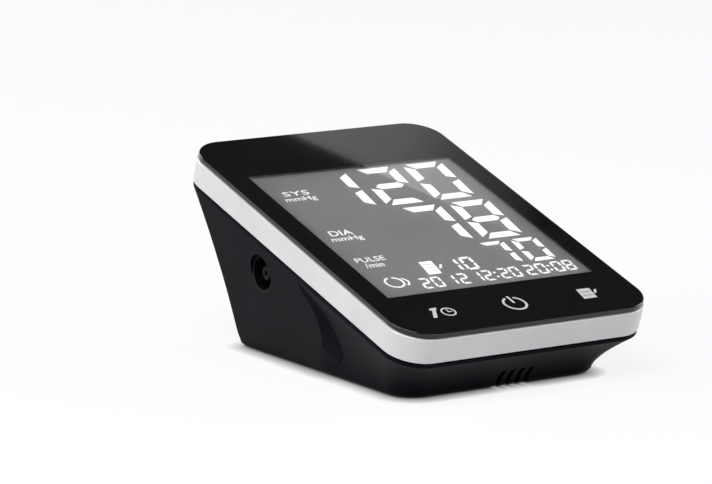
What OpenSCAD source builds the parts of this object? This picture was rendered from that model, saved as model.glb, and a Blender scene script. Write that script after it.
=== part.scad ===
// Desktop blood pressure monitor, console only: a wedge-shaped housing with a sloping glossy
// front panel, an air hose socket in its left side and four cells under a door in its base.
// Millimetres. +Z up, X to the right, Y to the back, the origin on the ground under the middle.
// Distances y are measured from the front edge of the panel seat, and the deck frame has its own
// axes: u across, v up the slope, w out of the slope.

/* [Front panel] */
// Width of the glossy front panel
panel_w = 100; // [96:0.5:110]
// Length of the front panel up the slope
panel_l = 142.4; // [138:0.5:155]
// Thickness of the panel plate
panel_t = 1.85; // [1.5:0.05:3]
// Radius of the panel's corners
panel_r = 11.8; // [8:0.2:16]
// Rounding along the panel's edges
panel_edge = 0.5; // [0.3:0.05:0.7]
// Thickness of the adhesive tape under the panel
tape_t = 0.15; // [0.1:0.05:0.4]
// Slope of the panel against the ground
tilt = 17.7; // [14:0.1:21]
// Height of the panel seat's front edge above the ground
front_z = 23.6; // [22:0.1:28]

/* [Display] */
// Border of the panel on each side of the screen
screen_side = 8.3; // [8:0.1:15]
// Length of the visible screen up the slope
screen_l = 89.3; // [70:0.2:92]
// Distance from the panel's front edge to the screen
screen_v = 25.5; // [23:0.1:30]
// Border of the display glass beyond the visible screen
glass_border = 0.9; // [0.5:0.1:1.1]
// Thickness of the display's glass stack
glass_t = 2.3; // [1.8:0.1:3]
// Thickness of the light guide behind the glass
light_t = 3.0; // [2:0.1:3.4]
// Wall of the tray that holds the display
tray_wall = 0.7; // [0.5:0.1:0.9]

/* [Silver frame] */
// How far the frame stands out beyond the panel
reveal = 0.4; // [0.2:0.05:0.8]
// Height of the frame's side
frame_h = 8.9; // [8:0.1:11]
// Rounding along the frame's edges
frame_edge = 0.6; // [0.3:0.05:0.9]
// Wall of the frame
frame_wall = 2.0; // [1.6:0.1:2.4]
// Thickness of the deck under the panel
deck_t = 1.8; // [1.4:0.1:2.2]

/* [Lower case] */
// Height of the shadow gap under the frame
gap_h = 0.4; // [0.2:0.05:0.8]
// Depth of the shadow gap
gap_in = 0.9; // [0.5:0.05:1.2]
// Height of the lip under the shadow gap
lip_h = 1.2; // [0.8:0.1:2]
// How far the lip stands back from the frame
lip_in = 0.3; // [0.1:0.05:0.5]
// Width of the base beyond the battery door's recess on each side
base_side = 9.33; // [8:0.01:12]
// Distance from the panel seat's front edge back to the base
base_front = 16.2; // [14:0.1:19]
// Distance from the panel seat's front edge back to the base's rear edge
base_rear = 118.6; // [116:0.1:121]
// Corner radius of the base at the front
base_r_front = 10; // [6:0.5:12]
// Corner radius of the base at the rear
base_r_rear = 5; // [3:0.5:8]
// Chamfer round the base's lower edge
base_chamfer = 1.0; // [0.5:0.1:1.5]
// Hollowness of the front wall, where 1 is straight
front_hollow = 1.45; // [1.2:0.05:1.7]
// Hollowness of the side walls ahead of their flats
side_hollow = 1.5; // [1.2:0.05:1.7]
// Hollowness of the rear wall
rear_hollow = 1.7; // [1.3:0.05:2]
// Wall of the lower case
case_wall = 2.2; // [1.8:0.1:2.5]
// Thickness of the case's floor
floor_t = 2.0; // [1.8:0.1:2.3]

/* [Feet] */
// Radius of the rubber feet
foot_r = 3.6; // [3:0.1:4]
// How far the feet stand out under the floor
foot_h = 0.6; // [0.5:0.1:1.2]
// Depth of the recess that holds each foot
foot_sink = 0.8; // [0.5:0.1:1]

/* [Battery bay] */
// Radius of a cell
cell_r = 7.2; // [7:0.05:7.3]
// Length of a cell, with its raised end
cell_l = 50.4; // [49.5:0.1:50.5]
// Number of cells side by side
cell_count = 4; // [4]
// Spacing of the cells
cell_pitch = 14.85; // [14.7:0.05:14.9]
// Compressed length of a cell spring
spring_l = 4.7; // [4:0.1:5]
// Wall of the battery bay
bay_wall = 1.4; // [1.2:0.1:1.6]
// Thickness of the battery door
door_t = 1.8; // [1.6:0.05:1.8]
// Clearance round the battery door
door_gap = 0.3; // [0.2:0.05:0.4]
// Radius of the door's hinge stubs
stub_r = 0.55; // [0.45:0.05:0.6]
// Radial clearance of the hinge stubs in their holes
stub_gap = 0.07; // [0.04:0.01:0.1]

/* [Air socket] */
// Radius of the socket's mouth
socket_r = 5.6; // [5:0.1:6]
// Radius of the nozzle in the socket
nozzle_r = 2.3; // [2:0.05:2.6]
// Radius of the nozzle's air way
airway_r = 0.8; // [0.6:0.05:0.9]
// Place of the socket up the slope
socket_v = 88.6; // [84:0.2:92]
// Distance of the socket down the side flat from the lip
socket_s = 10.6; // [9:0.1:13]
// Depth of the socket
socket_depth = 10.5; // [9:0.1:12]

/* [Power socket] */
// Radius of the power socket's mouth
jack_r = 3.1; // [3:0.05:3.3]
// Radius of the power socket's pin
jack_pin_r = 1.05; // [0.8:0.05:1.3]
// Distance of the power socket back from the panel seat's front edge
jack_y = 69; // [66:0.5:74]
// Height of the power socket
jack_z = 25.4; // [25:0.1:27]

/* [Pump] */
// Radius of the pump head
pump_r = 13.5; // [13:0.1:13.6]
// Radius of the motor can
can_r = 12.2; // [11.8:0.1:12.4]
// Length of the motor can
can_l = 24.5; // [22:0.5:25]
// Radius of the motor shaft
shaft_r = 1.0; // [0.8:0.05:1.2]
// Radial clearance of the shaft in its bearings
shaft_gap = 0.05; // [0.03:0.01:0.08]
// Throw of the crank pin
crank_throw = 1.1; // [0.8:0.1:1.3]
// Distance of the pump's axis back from the panel seat's front edge
pump_y = 101.5; // [100.5:0.1:102.5]

/* [Exhaust valve] */
// Radius of the valve's plunger
plunger_r = 1.95; // [1.7:0.05:2]
// Radial clearance of the plunger
plunger_gap = 0.1; // [0.05:0.01:0.1]
// Travel of the plunger
plunger_travel = 0.8; // [0.5:0.1:0.9]

/* [Speaker] */
// Radius of the speaker
speaker_r = 13; // [10:0.5:13.5]
// Place of the speaker across the base
speaker_x = 2.7; // [0:0.1:6]
// Distance of the speaker back from the panel seat's front edge
speaker_y = 33; // [31:0.5:34]
// Number of sound slots
slot_count = 4; // [3:5]
// Width of a sound slot
slot_w = 1.8; // [1.4:0.1:2]
// Spacing of the sound slots
slot_pitch = 3.8; // [3.4:0.1:4.2]
// Height of the sound slots' upper ends above the ground
slot_top = 6.6; // [5:0.1:7.5]

/* [Hidden] */

fine = 96;      // facets of a large circle
plain = 32;     // facets of a small circle
skin = 0.02;    // least clearance between pieces that sit in one another
rest = 0.1;     // clearance of a piece that lies on another
bite = 0.5;     // how far a rib or post runs into the wall that carries it
over = 1;       // how far a cutter runs past what it cuts

ct = cos(tilt);
st = sin(tilt);
tt = tan(tilt);

// Frame and panel
frame_w = panel_w + 2 * reveal;
frame_r = panel_r + reveal;
screen_w = panel_w - 2 * screen_side;
panel_top = tape_t + panel_t;
glass_w = screen_w + 2 * glass_border;
glass_l = screen_l + 2 * glass_border;
glass_v = screen_v - glass_border;
screen_mid_v = screen_v + screen_l / 2;
tray_w = glass_w + 2 * tray_wall + 2 * rest;
tray_l = glass_l + 2 * tray_wall + 2 * rest;
window_w = tray_w + 2 * rest;
window_l = tray_l + 2 * rest;
lens_gap = 0.05;

// Overall depth, which puts the origin under the middle of the whole
front_y = panel_edge * ct - (panel_top - panel_edge) * st - panel_edge;
rear_y = (panel_l + reveal - lip_in) * ct + (frame_h + gap_h + lip_h) * st;
mid_y = (front_y + rear_y) / 2;

// Lower case
lip_w = -(frame_h + gap_h + lip_h);         // w at the lip's lower edge
flat_u = frame_w / 2 - lip_in;              // half width at the lip
base_z = foot_h;
floor_z = base_z + floor_t;
base_rear_w = -base_rear * st + (base_z - front_z) * ct;

// Display stack, w of each layer's faces
glass_top = -rest;
glass_low = glass_top - glass_t;
light_low = glass_low - light_t - skin;
tray_floor = 0.9;
tray_low = light_low - tray_floor - skin;
board_gap = 0.8;
board_top = tray_low - board_gap;
board_t = 1.6;
board_low = board_top - board_t;
board_side = 1.4;                           // clearance of the board beside the frame's wall
board_w = frame_w - 2 * (frame_wall + board_side);
board_v0 = 5;
board_v1 = 88;
board_cut = 9;                              // cut corners at the front
board_post_in = 1.3;                        // from the board's side to its post screws
board_post_u = board_w / 2 - board_post_in;
board_post_v = [18, 83];
board_rear_in = 6.4;                        // from the tray's side to its screws
board_rear_u = tray_w / 2 - board_rear_in;
board_rear_v = 81;
board_hole_r = 1.1;
board_screw_r = 0.8;
deck_post_r = 1.8;
ledge_l = 3.4;                              // display ledge that carries the contacts

// Battery bay
plate_t = 0.4;
bay_l = cell_l + spring_l + 2 * plate_t + skin * 2;
bay_y0 = 53;
bay_y1 = bay_y0 + cell_count * cell_pitch;
cell_lift = 0.3;
door_top = base_z + door_t;
cell_z = door_top + cell_lift + cell_r;
bay_top = cell_z + cell_r + 0.7;
roof_t = 1.2;
roof_z = bay_top + roof_t;
ledge_t = 1.2;
ledge_w = 3.2;                              // how far the door's seat runs in over the recess
door_half = bay_l / 2 + ledge_w - door_gap;
knuckle_r = door_t / 2;
hinge_y = bay_y0 - ledge_w + knuckle_r + door_gap;
hinge_z = base_z + knuckle_r;
door_rear = bay_y1 + ledge_w - 0.9;
stub_l = 1.8;
nub_r = 2.7;
nub_h = 1.2;

// The base round the battery bay, and the lean of the side flats down to it
base_half = door_half + door_gap + base_side;
flat_lean = atan2(flat_u - base_half, lip_w - base_rear_w);

// Screws and posts
post_r = 3.2;
screw_r = 1.1;
head_r = 2.1;
head_h = 1.4;
screw_side = 0.63;                          // wall between the door's recess and the rear feet
case_screw_x = door_half + door_gap + foot_r + screw_side;
case_screw_rear = 4.2;                      // from the base's rear edge to the screws
case_screw_y = base_rear - case_screw_rear;
foot_in = 6.5;                              // from the base's side to the front feet
foot_front = 9.3;                           // from the base's front edge to the front feet
foot_rear = 15;                             // from the base's rear edge to the rear feet
foot_x = base_half - foot_in;
case_screw_l = 14;
counter_r = 2.5;
counter_h = 5;
split_gap = 0.2;

// Speaker
speaker_z = floor_z + 0.7;
speaker_rim = 1.2;
cone_travel = 0.3;

// Pump
pump_x = 8;                                 // where the motor can meets the pump housing
pump_z = roof_z + pump_r + 0.5;
can_wall = 0.8;
housing_l = 10;
diaphragm_t = 1.5;
head_l = 6.5;
barb_l = 5;
cushion_t = pump_r - can_r - skin;
cushion_x0 = pump_x + 3;
cushion_l = 18;
strap_x = pump_x + 9;
strap_w = 7;
strap_t = 0.8;
stud_ring = 7.2;
core_r = 8.6;                               // radius of the motor's core
core_l = 12;
core_gap = 0.8;                             // from the core to the magnets
magnet_l = 15;
pump_screw_ring = 11.9;
pump_screw_r = 0.8;
pump_end = pump_x - housing_l - diaphragm_t - head_l;   // x of the head's end face
outlet_x = pump_end - 3 - barb_l;

// Air socket
socket_w = lip_w - socket_s * cos(flat_lean);
socket_face = flat_u - socket_s * sin(flat_lean);
socket_y = socket_v * ct - socket_w * st;
socket_z = front_z + socket_v * st + socket_w * ct;
socket_wall = 1.1;
socket_lip = 0.9;                           // how far the socket's mouth stands in from the flat
socket_floor = 1.6;
socket_tail = -socket_face + socket_lip + socket_depth;

// Valve
valve_side = 11;                            // from the socket's inner end to the valve
valve_x = socket_tail + valve_side;
valve_y = 109.5;
valve_w = 12;
valve_d = 10;
valve_z = roof_z + rest;
yoke_t = 1.2;
coil_r = 4.8;
coil_h = 12.4;
yoke_top = valve_z + yoke_t + coil_h + yoke_t + 0.4;
plunger_low = valve_z + yoke_t + skin;
plunger_high = yoke_top + 0.2;
spring_wire = 0.2;
spring_top = plunger_high + 1.9;
cap_h = 6;
cap_barb_z = yoke_top + cap_h - 1.9;

// Air way
nozzle_in = 2.2;                            // how far the nozzle's tip stands in from the flat
tail_l = 7;
tube_r = 2.3;
barb_r = 1.4;
tube_grip = 4;                            // how far a tube is pushed over a barb
manifold_side = 14.6;                       // from the socket's inner end to the manifold
manifold_x = socket_tail + manifold_side;
manifold_y = 76;
manifold_z = 25;
manifold_half = 7;
manifold_r = 3;
port_x = 3.5;
sensor_in = 12;                             // from the board's side to the pressure sensor
sensor_u = sensor_in - board_w / 2;
sensor_v = 66;
sensor_h = 4.4;
sensor_barb = 4.5;
sensor_w = board_low - 2.7;
elbow_x = 3;                                // from the socket's inner end to the nozzle's elbow
elbow_l = 6.5;

// Power socket
jack_s = (lip_w + jack_y * st - (jack_z - front_z) * ct) / cos(flat_lean);
jack_face = flat_u - jack_s * sin(flat_lean) - 2.9;
jack_w = 9;
jack_h = 10.4;
jack_l = 13;
jack_floor_z = jack_z - jack_h / 2 - skin;

// Panel keys
key_side = 21.2;                            // from the panel's side to its outer keys
key_u = panel_w / 2 - key_side;
key_v = 12.5;
key_hole_r = 5;
key_spring_r = 3.4;

// ---------------------------------------------------------------- frames and helpers

module base() { translate([0, -mid_y, 0]) children(); }

module deck() { base() translate([0, 0, front_z]) rotate([tilt, 0, 0]) children(); }

// A frame on the left or right side flat: x outwards, y up the slope, z up the flat
module side_flat(side) {
    deck() mirror([side < 0 ? 1 : 0, 0, 0])
        translate([flat_u, 0, lip_w]) rotate([0, flat_lean, 0]) children();
}

// A box given by its two corners
module block(a, b) { translate(a) cube(b - a); }

// A cylinder from a point along x, y or z
module rod(p, r, l, axis = "z", n = plain) {
    turn = axis == "x" ? [0, 90, 0] : axis == "y" ? [-90, 0, 0] : [0, 0, 0];
    translate(p) rotate(turn) cylinder(r = r, h = l, $fn = n);
}

module ring(p, r, bore, l, axis = "z", n = plain) {
    difference() {
        rod(p, r, l, axis, n);
        shift = axis == "x" ? [-over, 0, 0] : axis == "y" ? [0, -over, 0] : [0, 0, -over];
        rod(p + shift, bore, l + 2 * over, axis, n);
    }
}

// A flat plate in the deck frame with round corners, its middle at v
module plate_outline(w, l, r) {
    for (x = [-1, 1], y = [-1, 1]) translate([x * (w / 2 - r), y * (l / 2 - r)]) circle(r = r, $fn = fine);
    square([w - 2 * r, l], center = true);
    square([w, l - 2 * r], center = true);
}

module flat_plate(w, l, r, w0, w1) { translate([0, 0, w0]) linear_extrude(w1 - w0) plate_outline(w, l, r); }

// The section of a plate with rounded edges, from its middle line out to d
module edge_section(d, h, f, first) {
    translate([first, 0]) square([d - f - first, h]);
    translate([first, f]) square([d - first, h - 2 * f]);
    for (z = [f, h - f]) translate([d - f, z]) circle(r = f, $fn = plain);
}

// A plate with round corners and rounded edges
module soft_plate(w, l, h, r, f) {
    for (x = [-1, 1], y = [-1, 1])
        translate([x * (w / 2 - r), y * (l / 2 - r), 0]) rotate_extrude($fn = fine) edge_section(r, h, f, 0);
    for (turn = [0, 90]) {
        across = turn == 0 ? l : w;
        along = turn == 0 ? w : l;
        rotate([90, 0, turn + 90]) translate([0, 0, -(along / 2 - r)]) linear_extrude(along - 2 * r)
            for (m = [0, 1]) mirror([m, 0]) edge_section(across / 2, h, f, -skin);
    }
}

// A point on a smooth curve from a to d, which leaves towards b and arrives from c
function bend(q, t) = let (s = 1 - t)
    s * s * s * q[0] + 3 * t * s * s * q[1] + 3 * t * t * s * q[2] + t * t * t * q[3];
function heading(q, t) = let (s = 1 - t)
    unit(s * s * (q[1] - q[0]) + 2 * t * s * (q[2] - q[1]) + t * t * (q[3] - q[2]));
function unit(v) = v / norm(v);

// A hose or wire from a straight start, along such a curve, to a straight end; no bore makes it solid
module swept(from, q, to, r, bore = 0, steps = 14, sides = 12, side = [0, 0, 1]) {
    radii = bore > 0 ? [r, bore] : [r];
    stations = concat([[from, unit(q[0] - from)]],
        [for (i = [0 : steps]) [bend(q, i / steps), heading(q, i / steps)]], [[to, unit(to - q[3])]]);
    last = len(stations) - 1;
    point = function(i, k, e) let (h = stations[i][1], a = unit(cross(h, side)), b = cross(a, h))
        stations[i][0] + e * (cos(360 * k / sides) * a + sin(360 * k / sides) * b);
    points = [for (e = radii, i = [0 : last], k = [0 : sides - 1]) point(i, k, e)];
    far = (last + 1) * sides;
    at = function(e, i, k) e * far + i * sides + k % sides;
    walls = [for (i = [0 : last - 1], k = [0 : sides - 1])
        each [[at(0, i, k), at(0, i, k + 1), at(0, i + 1, k)],
              [at(0, i, k + 1), at(0, i + 1, k + 1), at(0, i + 1, k)]]];
    way = [for (i = [0 : last - 1], k = [0 : sides - 1])
        each [[at(1, i, k), at(1, i + 1, k), at(1, i, k + 1)],
              [at(1, i, k + 1), at(1, i + 1, k), at(1, i + 1, k + 1)]]];
    rims = [for (k = [0 : sides - 1]) each [
        [at(0, 0, k), at(1, 0, k), at(0, 0, k + 1)], [at(0, 0, k + 1), at(1, 0, k), at(1, 0, k + 1)],
        [at(0, last, k), at(0, last, k + 1), at(1, last, k)],
        [at(0, last, k + 1), at(1, last, k + 1), at(1, last, k)]]];
    ends = [[for (k = [sides - 1 : -1 : 0]) at(0, 0, k)], [for (k = [0 : sides - 1]) at(0, last, k)]];
    polyhedron(points, bore > 0 ? concat(walls, way, rims) : concat(walls, ends), convexity = 6);
}

// A coil of round wire along z, whose radius may change from one end to the other
module coil(r0, r1, h, turns, wire) {
    steps = 12;
    sides = 6;
    n = ceil(steps * turns);
    centre = function(i) let (t = i / n, r = r0 + (r1 - r0) * t, a = 360 * turns * t)
        [r * cos(a), r * sin(a), h * t];
    point = function(i, k) let (c = centre(i), a = 360 * turns * i / n, b = 360 * k / sides)
        c + wire * [cos(b) * cos(a), cos(b) * sin(a), sin(b)];
    points = [for (i = [0 : n], k = [0 : sides - 1]) point(i, k)];
    walls = [for (i = [0 : n - 1], k = [0 : sides - 1]) let (j = (k + 1) % sides)
        each [[i * sides + k, i * sides + j, (i + 1) * sides + k],
              [(i + 1) * sides + k, i * sides + j, (i + 1) * sides + j]]];
    ends = [[for (k = [sides - 1 : -1 : 0]) k], [for (k = [0 : sides - 1]) n * sides + k]];
    polyhedron(points, concat(walls, ends), convexity = 6);
}

// ---------------------------------------------------------------- the lower case's skin

corner_steps = 8;
side_steps = 5;

// One round corner of an outline, as points
function corner(cx, cy, r, a0) =
    [for (k = [0 : corner_steps]) let (a = a0 + 90 * k / corner_steps) [cx + r * cos(a), cy + r * sin(a)]];

function between(a, b) = [for (k = [1 : side_steps - 1]) a + (b - a) * k / side_steps];

// A rounded rectangle as points, with its own radius at the front and at the rear
function outline(half, y0, y1, rf, rr) = let (
    a = corner(half - rf, y0 + rf, rf, -90),
    b = corner(half - rr, y1 - rr, rr, 0),
    c = corner(rr - half, y1 - rr, rr, 90),
    d = corner(rf - half, y0 + rf, rf, 180),
    n = corner_steps)
    concat(a, between(a[n], b[0]), b, between(b[n], c[0]), c, between(c[n], d[0]), d, between(d[n], a[0]));

// The outline under the frame, inset by d
function top_outline(d) =
    outline(frame_w / 2 - d, d - reveal, panel_l + reveal - d, frame_r - d, frame_r - d);

// The base's outline, inset by d
function base_outline(d) =
    outline(base_half - d, base_front + d, base_rear - d, base_r_front - d / 2, base_r_rear - d / 2);

function on_deck(p, w) = [p[0], p[1] * ct - w * st, front_z + p[1] * st + w * ct];
function on_ground(p, z) = [p[0], p[1], z];
function hollow(t, power) = 1 - pow(1 - t, power);

fall = [0.07, 0.16, 0.27, 0.4, 0.54, 0.68, 0.82, 0.93, 1];

// A ring of points part of the way down from the lip to the base
function wall_ring(d, t, side, z) = let (top = top_outline(d), low = base_outline(d - lip_in))
    [for (i = [0 : len(top) - 1]) let (
        a = on_deck(top[i], lip_w),
        b = low[i],
        ease = a[1] > base_rear / 2 ? rear_hollow : front_hollow,
        cx = hollow(t, side),
        cy = hollow(t, ease))
        [a[0] + (b[0] - a[0]) * cx, a[1] + (b[1] - a[1]) * cy, a[2] + (z - a[2]) * t]];

// A closed skin through rings of points
module lofted(rings) {
    n = len(rings[0]);
    m = len(rings);
    mean = function(ring) [for (k = [0 : 2]) (min([for (p = ring) p[k]]) + max([for (p = ring) p[k]])) / 2];
    points = concat([for (r = rings) each r], [mean(rings[0]), mean(rings[m - 1])]);
    walls = [for (k = [0 : m - 2], i = [0 : n - 1]) let (j = (i + 1) % n)
        each [[k * n + i, k * n + j, (k + 1) * n + i], [k * n + j, (k + 1) * n + j, (k + 1) * n + i]]];
    caps = [for (i = [0 : n - 1]) let (j = (i + 1) % n)
        each [[m * n, j, i], [m * n + 1, (m - 1) * n + i, (m - 1) * n + j]]];
    polyhedron(points, concat(walls, caps), convexity = 8);
}

function deck_ring(d, w) = [for (p = top_outline(d)) on_deck(p, w)];

edge_z = base_z + base_chamfer;

// The hollow-sided skin, with its shadow gap and lip
module outer_skin() {
    lofted(concat(
        [deck_ring(gap_in, -frame_h - skin), deck_ring(gap_in, -frame_h - gap_h),
         deck_ring(lip_in, -frame_h - gap_h), deck_ring(lip_in, lip_w)],
        [for (t = fall) wall_ring(lip_in, t, side_hollow, edge_z)],
        [[for (p = base_outline(base_chamfer)) on_ground(p, base_z)]]));
}

// A fuller skin with the same front and rear, which carries the flats on the two sides
full_side = 0.7;
module full_skin() {
    lofted(concat(
        [deck_ring(lip_in + 1, lip_w + lip_h / 2), deck_ring(lip_in, lip_w)],
        [for (t = fall) wall_ring(lip_in, t, full_side, edge_z)],
        [[for (p = base_outline(base_chamfer)) on_ground(p, base_z)]]));
}

// The flat on each side: a leaf-shaped face with a soft edge, in the side flat's frame
leaf = [[61, -13.4, 8.2], [150, 26, 22], [150, -92, 22]];      // v, height up the flat and radius
leaf_depths = [[0, 0], [4, 11], [40, 14]];                     // depth and how much wider there
leaf_facets = 48;
leaf_in = 0.08;                                                // how far the flat stands in from the lip
module leaf_pad() {
    hull() for (layer = leaf_depths, c = leaf)
        translate([-layer[0] - leaf_in - skin, c[0], c[1]]) rotate([0, 90, 0])
            cylinder(r = c[2] + layer[1], h = skin, $fn = leaf_facets);
}

module inner_skin() {
    d = lip_in + case_wall;
    w1 = over;
    lofted(concat(
        [deck_ring(d, w1), deck_ring(d, lip_w)],
        [for (t = fall) wall_ring(d, t, side_hollow, floor_z)]));
}

// The whole skin as one smooth mesh, in the base frame
module case_skin() {
    resize([0, 0, 0]) difference() {
        union() {
            outer_skin();
            intersection() {
                full_skin();
                union() for (side = [-1, 1]) translate([0, mid_y, 0]) side_flat(side) leaf_pad();
            }
        }
        inner_skin();
    }
}

// ---------------------------------------------------------------- outer pieces

module front_panel() {
    color("#141414") deck() translate([0, panel_l / 2, 0]) difference() {
        translate([0, 0, tape_t]) soft_plate(panel_w, panel_l, panel_t, panel_r, panel_edge);
        translate([0, screen_mid_v - panel_l / 2, tape_t - over]) linear_extrude(panel_t + 2 * over)
            square([screen_w, screen_l], center = true);
    }
}

module display_lens() {
    color("#b0b4b8", 0.35) deck() translate([0, screen_mid_v, tape_t]) linear_extrude(panel_t)
        square([screen_w - 2 * lens_gap, screen_l - 2 * lens_gap], center = true);
}

tape_in = 1.5;
module panel_tape() {
    color("#202020") deck() difference() {
        translate([0, panel_l / 2, 0])
            flat_plate(panel_w - 2 * tape_in, panel_l - 2 * tape_in, panel_r - tape_in, skin, tape_t - skin);
        translate([0, screen_mid_v, -over]) linear_extrude(tape_t + 2 * over)
            square([window_w + rest, window_l + rest], center = true);
        for (u = [-key_u, 0, key_u]) rod([u, key_v, -over], key_hole_r, tape_t + 2 * over);
    }
}

// Posts under the deck for the board's front screws
module deck_posts() {
    for (u = [-board_post_u, board_post_u], v = board_post_v)
        rod([u, v, board_top + skin], deck_post_r, -board_top - bite);
}

module silver_frame() {
    color("#c9cacc") difference() {
        union() {
            deck() translate([0, panel_l / 2, 0]) difference() {
                translate([0, 0, -frame_h])
                    soft_plate(frame_w, panel_l + 2 * reveal, frame_h, frame_r, frame_edge);
                inset = 2 * frame_wall;
                flat_plate(frame_w - inset, panel_l + 2 * reveal - inset, frame_r - frame_wall,
                           -frame_h - over, -deck_t);
            }
            deck() deck_posts();
            intersection() {
                base() for (x = [-case_screw_x, case_screw_x])
                    ring([x, case_screw_y, case_screw_z], post_r - 0.4, screw_r - 0.25, 60);
                deck() flat_plate_box();
            }
        }
        deck() translate([0, screen_mid_v, -frame_h]) linear_extrude(frame_h + over)
            square([window_w, window_l], center = true);
        deck() for (u = [-key_u, 0, key_u]) rod([u, key_v, -frame_h], key_hole_r, frame_h + over);
        deck() for (u = [-board_post_u, board_post_u], v = board_post_v)
            rod([u, v, board_top - over], board_screw_r, over + 4.5);
    }
}

// The space under the deck's upper face, which trims the rear screw posts
module flat_plate_box() { translate([-60, -over, -80]) cube([120, 160, 80 - deck_t + bite]); }

// Height at which the upper and lower screw posts meet
case_screw_z = base_z + counter_h + case_screw_l - 6;

// Saddle ribs that carry the pump, as thin plates across its axis
module saddle(x, w, r) {
    difference() {
        block([x, pump_y - 10.5, roof_z - bite], [x + w, pump_y + 10.5, pump_z - 4]);
        rod([x - over, pump_y, pump_z], r + rest, w + 2 * over, "x", fine);
    }
}

module bay_shell() {
    half = bay_l / 2;
    difference() {
        union() {
            block([-half - bay_wall, bay_y0 - bay_wall, floor_z - bite],
                  [half + bay_wall, bay_y1 + bay_wall, roof_z]);
            block([-half - ledge_w - 1.6, bay_y0 - ledge_w - 1.6, floor_z - bite],
                  [half + ledge_w + 1.6, bay_y1 + ledge_w + 1.4, floor_z + ledge_t]);
        }
        block([-half, bay_y0, base_z - over], [half, bay_y1, bay_top]);
    }
}

strap_block_y = pump_y + pump_r + 0.2;
strap_foot_z = roof_z + 2.2;
module lower_ribs() {
    bay_shell();
    saddle(cushion_x0 + 1.5, 2, pump_r);
    saddle(cushion_x0 + cushion_l - 3, 2, pump_r);
    saddle(pump_end + 2, 2.5, pump_r);
    rod([strap_x + strap_w / 2, strap_hole_y, roof_z - bite], 2.4, strap_foot_z - roof_z + bite - skin);
    block([strap_x, strap_block_y, floor_z - bite], [strap_x + strap_w, base_rear - 0.6, roof_z + 1.4]);
    ring([speaker_x, speaker_y, floor_z - bite], speaker_r, speaker_r - 1.4,
         speaker_z - floor_z + bite - 0.05, "z", fine);
    for (x = [-case_screw_x, case_screw_x])
        rod([x, case_screw_y, floor_z - bite], post_r, case_screw_z - split_gap - floor_z + bite);
    for (y = [jack_y - jack_w / 2 - 1.4, jack_y + jack_w / 2 + 0.2])
        block([jack_face - jack_l + 1, y, roof_z - 3], [jack_face + 0.5, y + 1.2, jack_z + 1]);
    block([bay_l / 2, jack_y - jack_w / 2 - 1.4, jack_floor_z - 1.8],
          [jack_face + 0.5, jack_y + jack_w / 2 + 1.4, jack_floor_z]);
}

slot_x0 = speaker_x - slot_pitch * (slot_count - 1) / 2;
module sound_slots() {
    for (i = [0 : slot_count - 1])
        block([slot_x0 + slot_pitch * i - slot_w / 2, base_front - 12, base_z - over],
              [slot_x0 + slot_pitch * i + slot_w / 2, speaker_y + speaker_r - 4, slot_top]);
}

latch_half = 6;
module lower_case() {
    color("#17181b") difference() {
        base() union() {
            case_skin();
            lower_ribs();
            socket_boss();
        }
        base() {
            // Door recess with its hinge holes and the latch notch
            block([-door_half - door_gap, hinge_y - knuckle_r - door_gap, base_z - over],
                  [door_half + door_gap, door_rear + door_gap, door_top + 0.2]);
            rod([-door_half - stub_l - 0.2, hinge_y, hinge_z], stub_r + stub_gap,
                2 * (door_half + stub_l + 0.2), "x");
            block([-latch_half - door_gap, door_rear, base_z - over],
                  [latch_half + door_gap, door_rear + 1.5, door_top + 0.2]);
            // Screw holes from below
            for (x = [-case_screw_x, case_screw_x]) {
                rod([x, case_screw_y, base_z - over], counter_r, counter_h + over);
                rod([x, case_screw_y, base_z], screw_r + 0.15, 40);
            }
            // Foot recesses
            for (p = foot_places) rod([p[0], p[1], base_z - over], foot_r + 0.1, foot_sink + over);
            sound_slots();
            // Strap screw hole
            rod([strap_x + strap_w / 2, strap_hole_y, strap_foot_z - 2.7], 0.8, 4);
            // Slots for the end contacts' tabs
            for (i = [1, cell_count])
                block([-bay_l / 2 - rest, tab_y(i) - 1.6, bay_top - over],
                      [plate_t + rest - bay_l / 2, tab_y(i) + 1.6, roof_z + over]);
            // Socket and power socket holes
            rod([-socket_face - 10, socket_y, socket_z], socket_r + socket_wall + skin, socket_depth + 14,
                "x", fine);
            rod([jack_face - over, jack_y, jack_z], jack_r + 0.7, 10, "x", fine);
            block([jack_face - jack_l - 1, jack_y - jack_w / 2 - 0.2, jack_floor_z],
                  [jack_face + skin, jack_y + jack_w / 2 + 0.2, jack_z + jack_h / 2 + 4]);
        }
    }
}

foot_places = [[-foot_x, base_front + foot_front], [foot_x, base_front + foot_front],
               [-case_screw_x, base_rear - foot_rear], [case_screw_x, base_rear - foot_rear]];

// A ring of the wall round the air socket, trimmed to the side flat
module socket_boss() {
    intersection() {
        rod([-socket_face - 6, socket_y, socket_z], socket_r + 3, 12, "x", fine);
        translate([0, mid_y, 0]) side_flat(-1)
            block([-6, socket_v - 12, -socket_s - 12], [-0.3, socket_v + 12, -socket_s + 12]);
    }
}

module rubber_feet() {
    color("#26272a") base() for (p = foot_places) {
        rod([p[0], p[1], foot_h / 2], foot_r, foot_h / 2 + foot_sink);
        translate([p[0], p[1], 0]) cylinder(r1 = foot_r - 0.4, r2 = foot_r, h = foot_h / 2, $fn = plain);
    }
}

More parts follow.
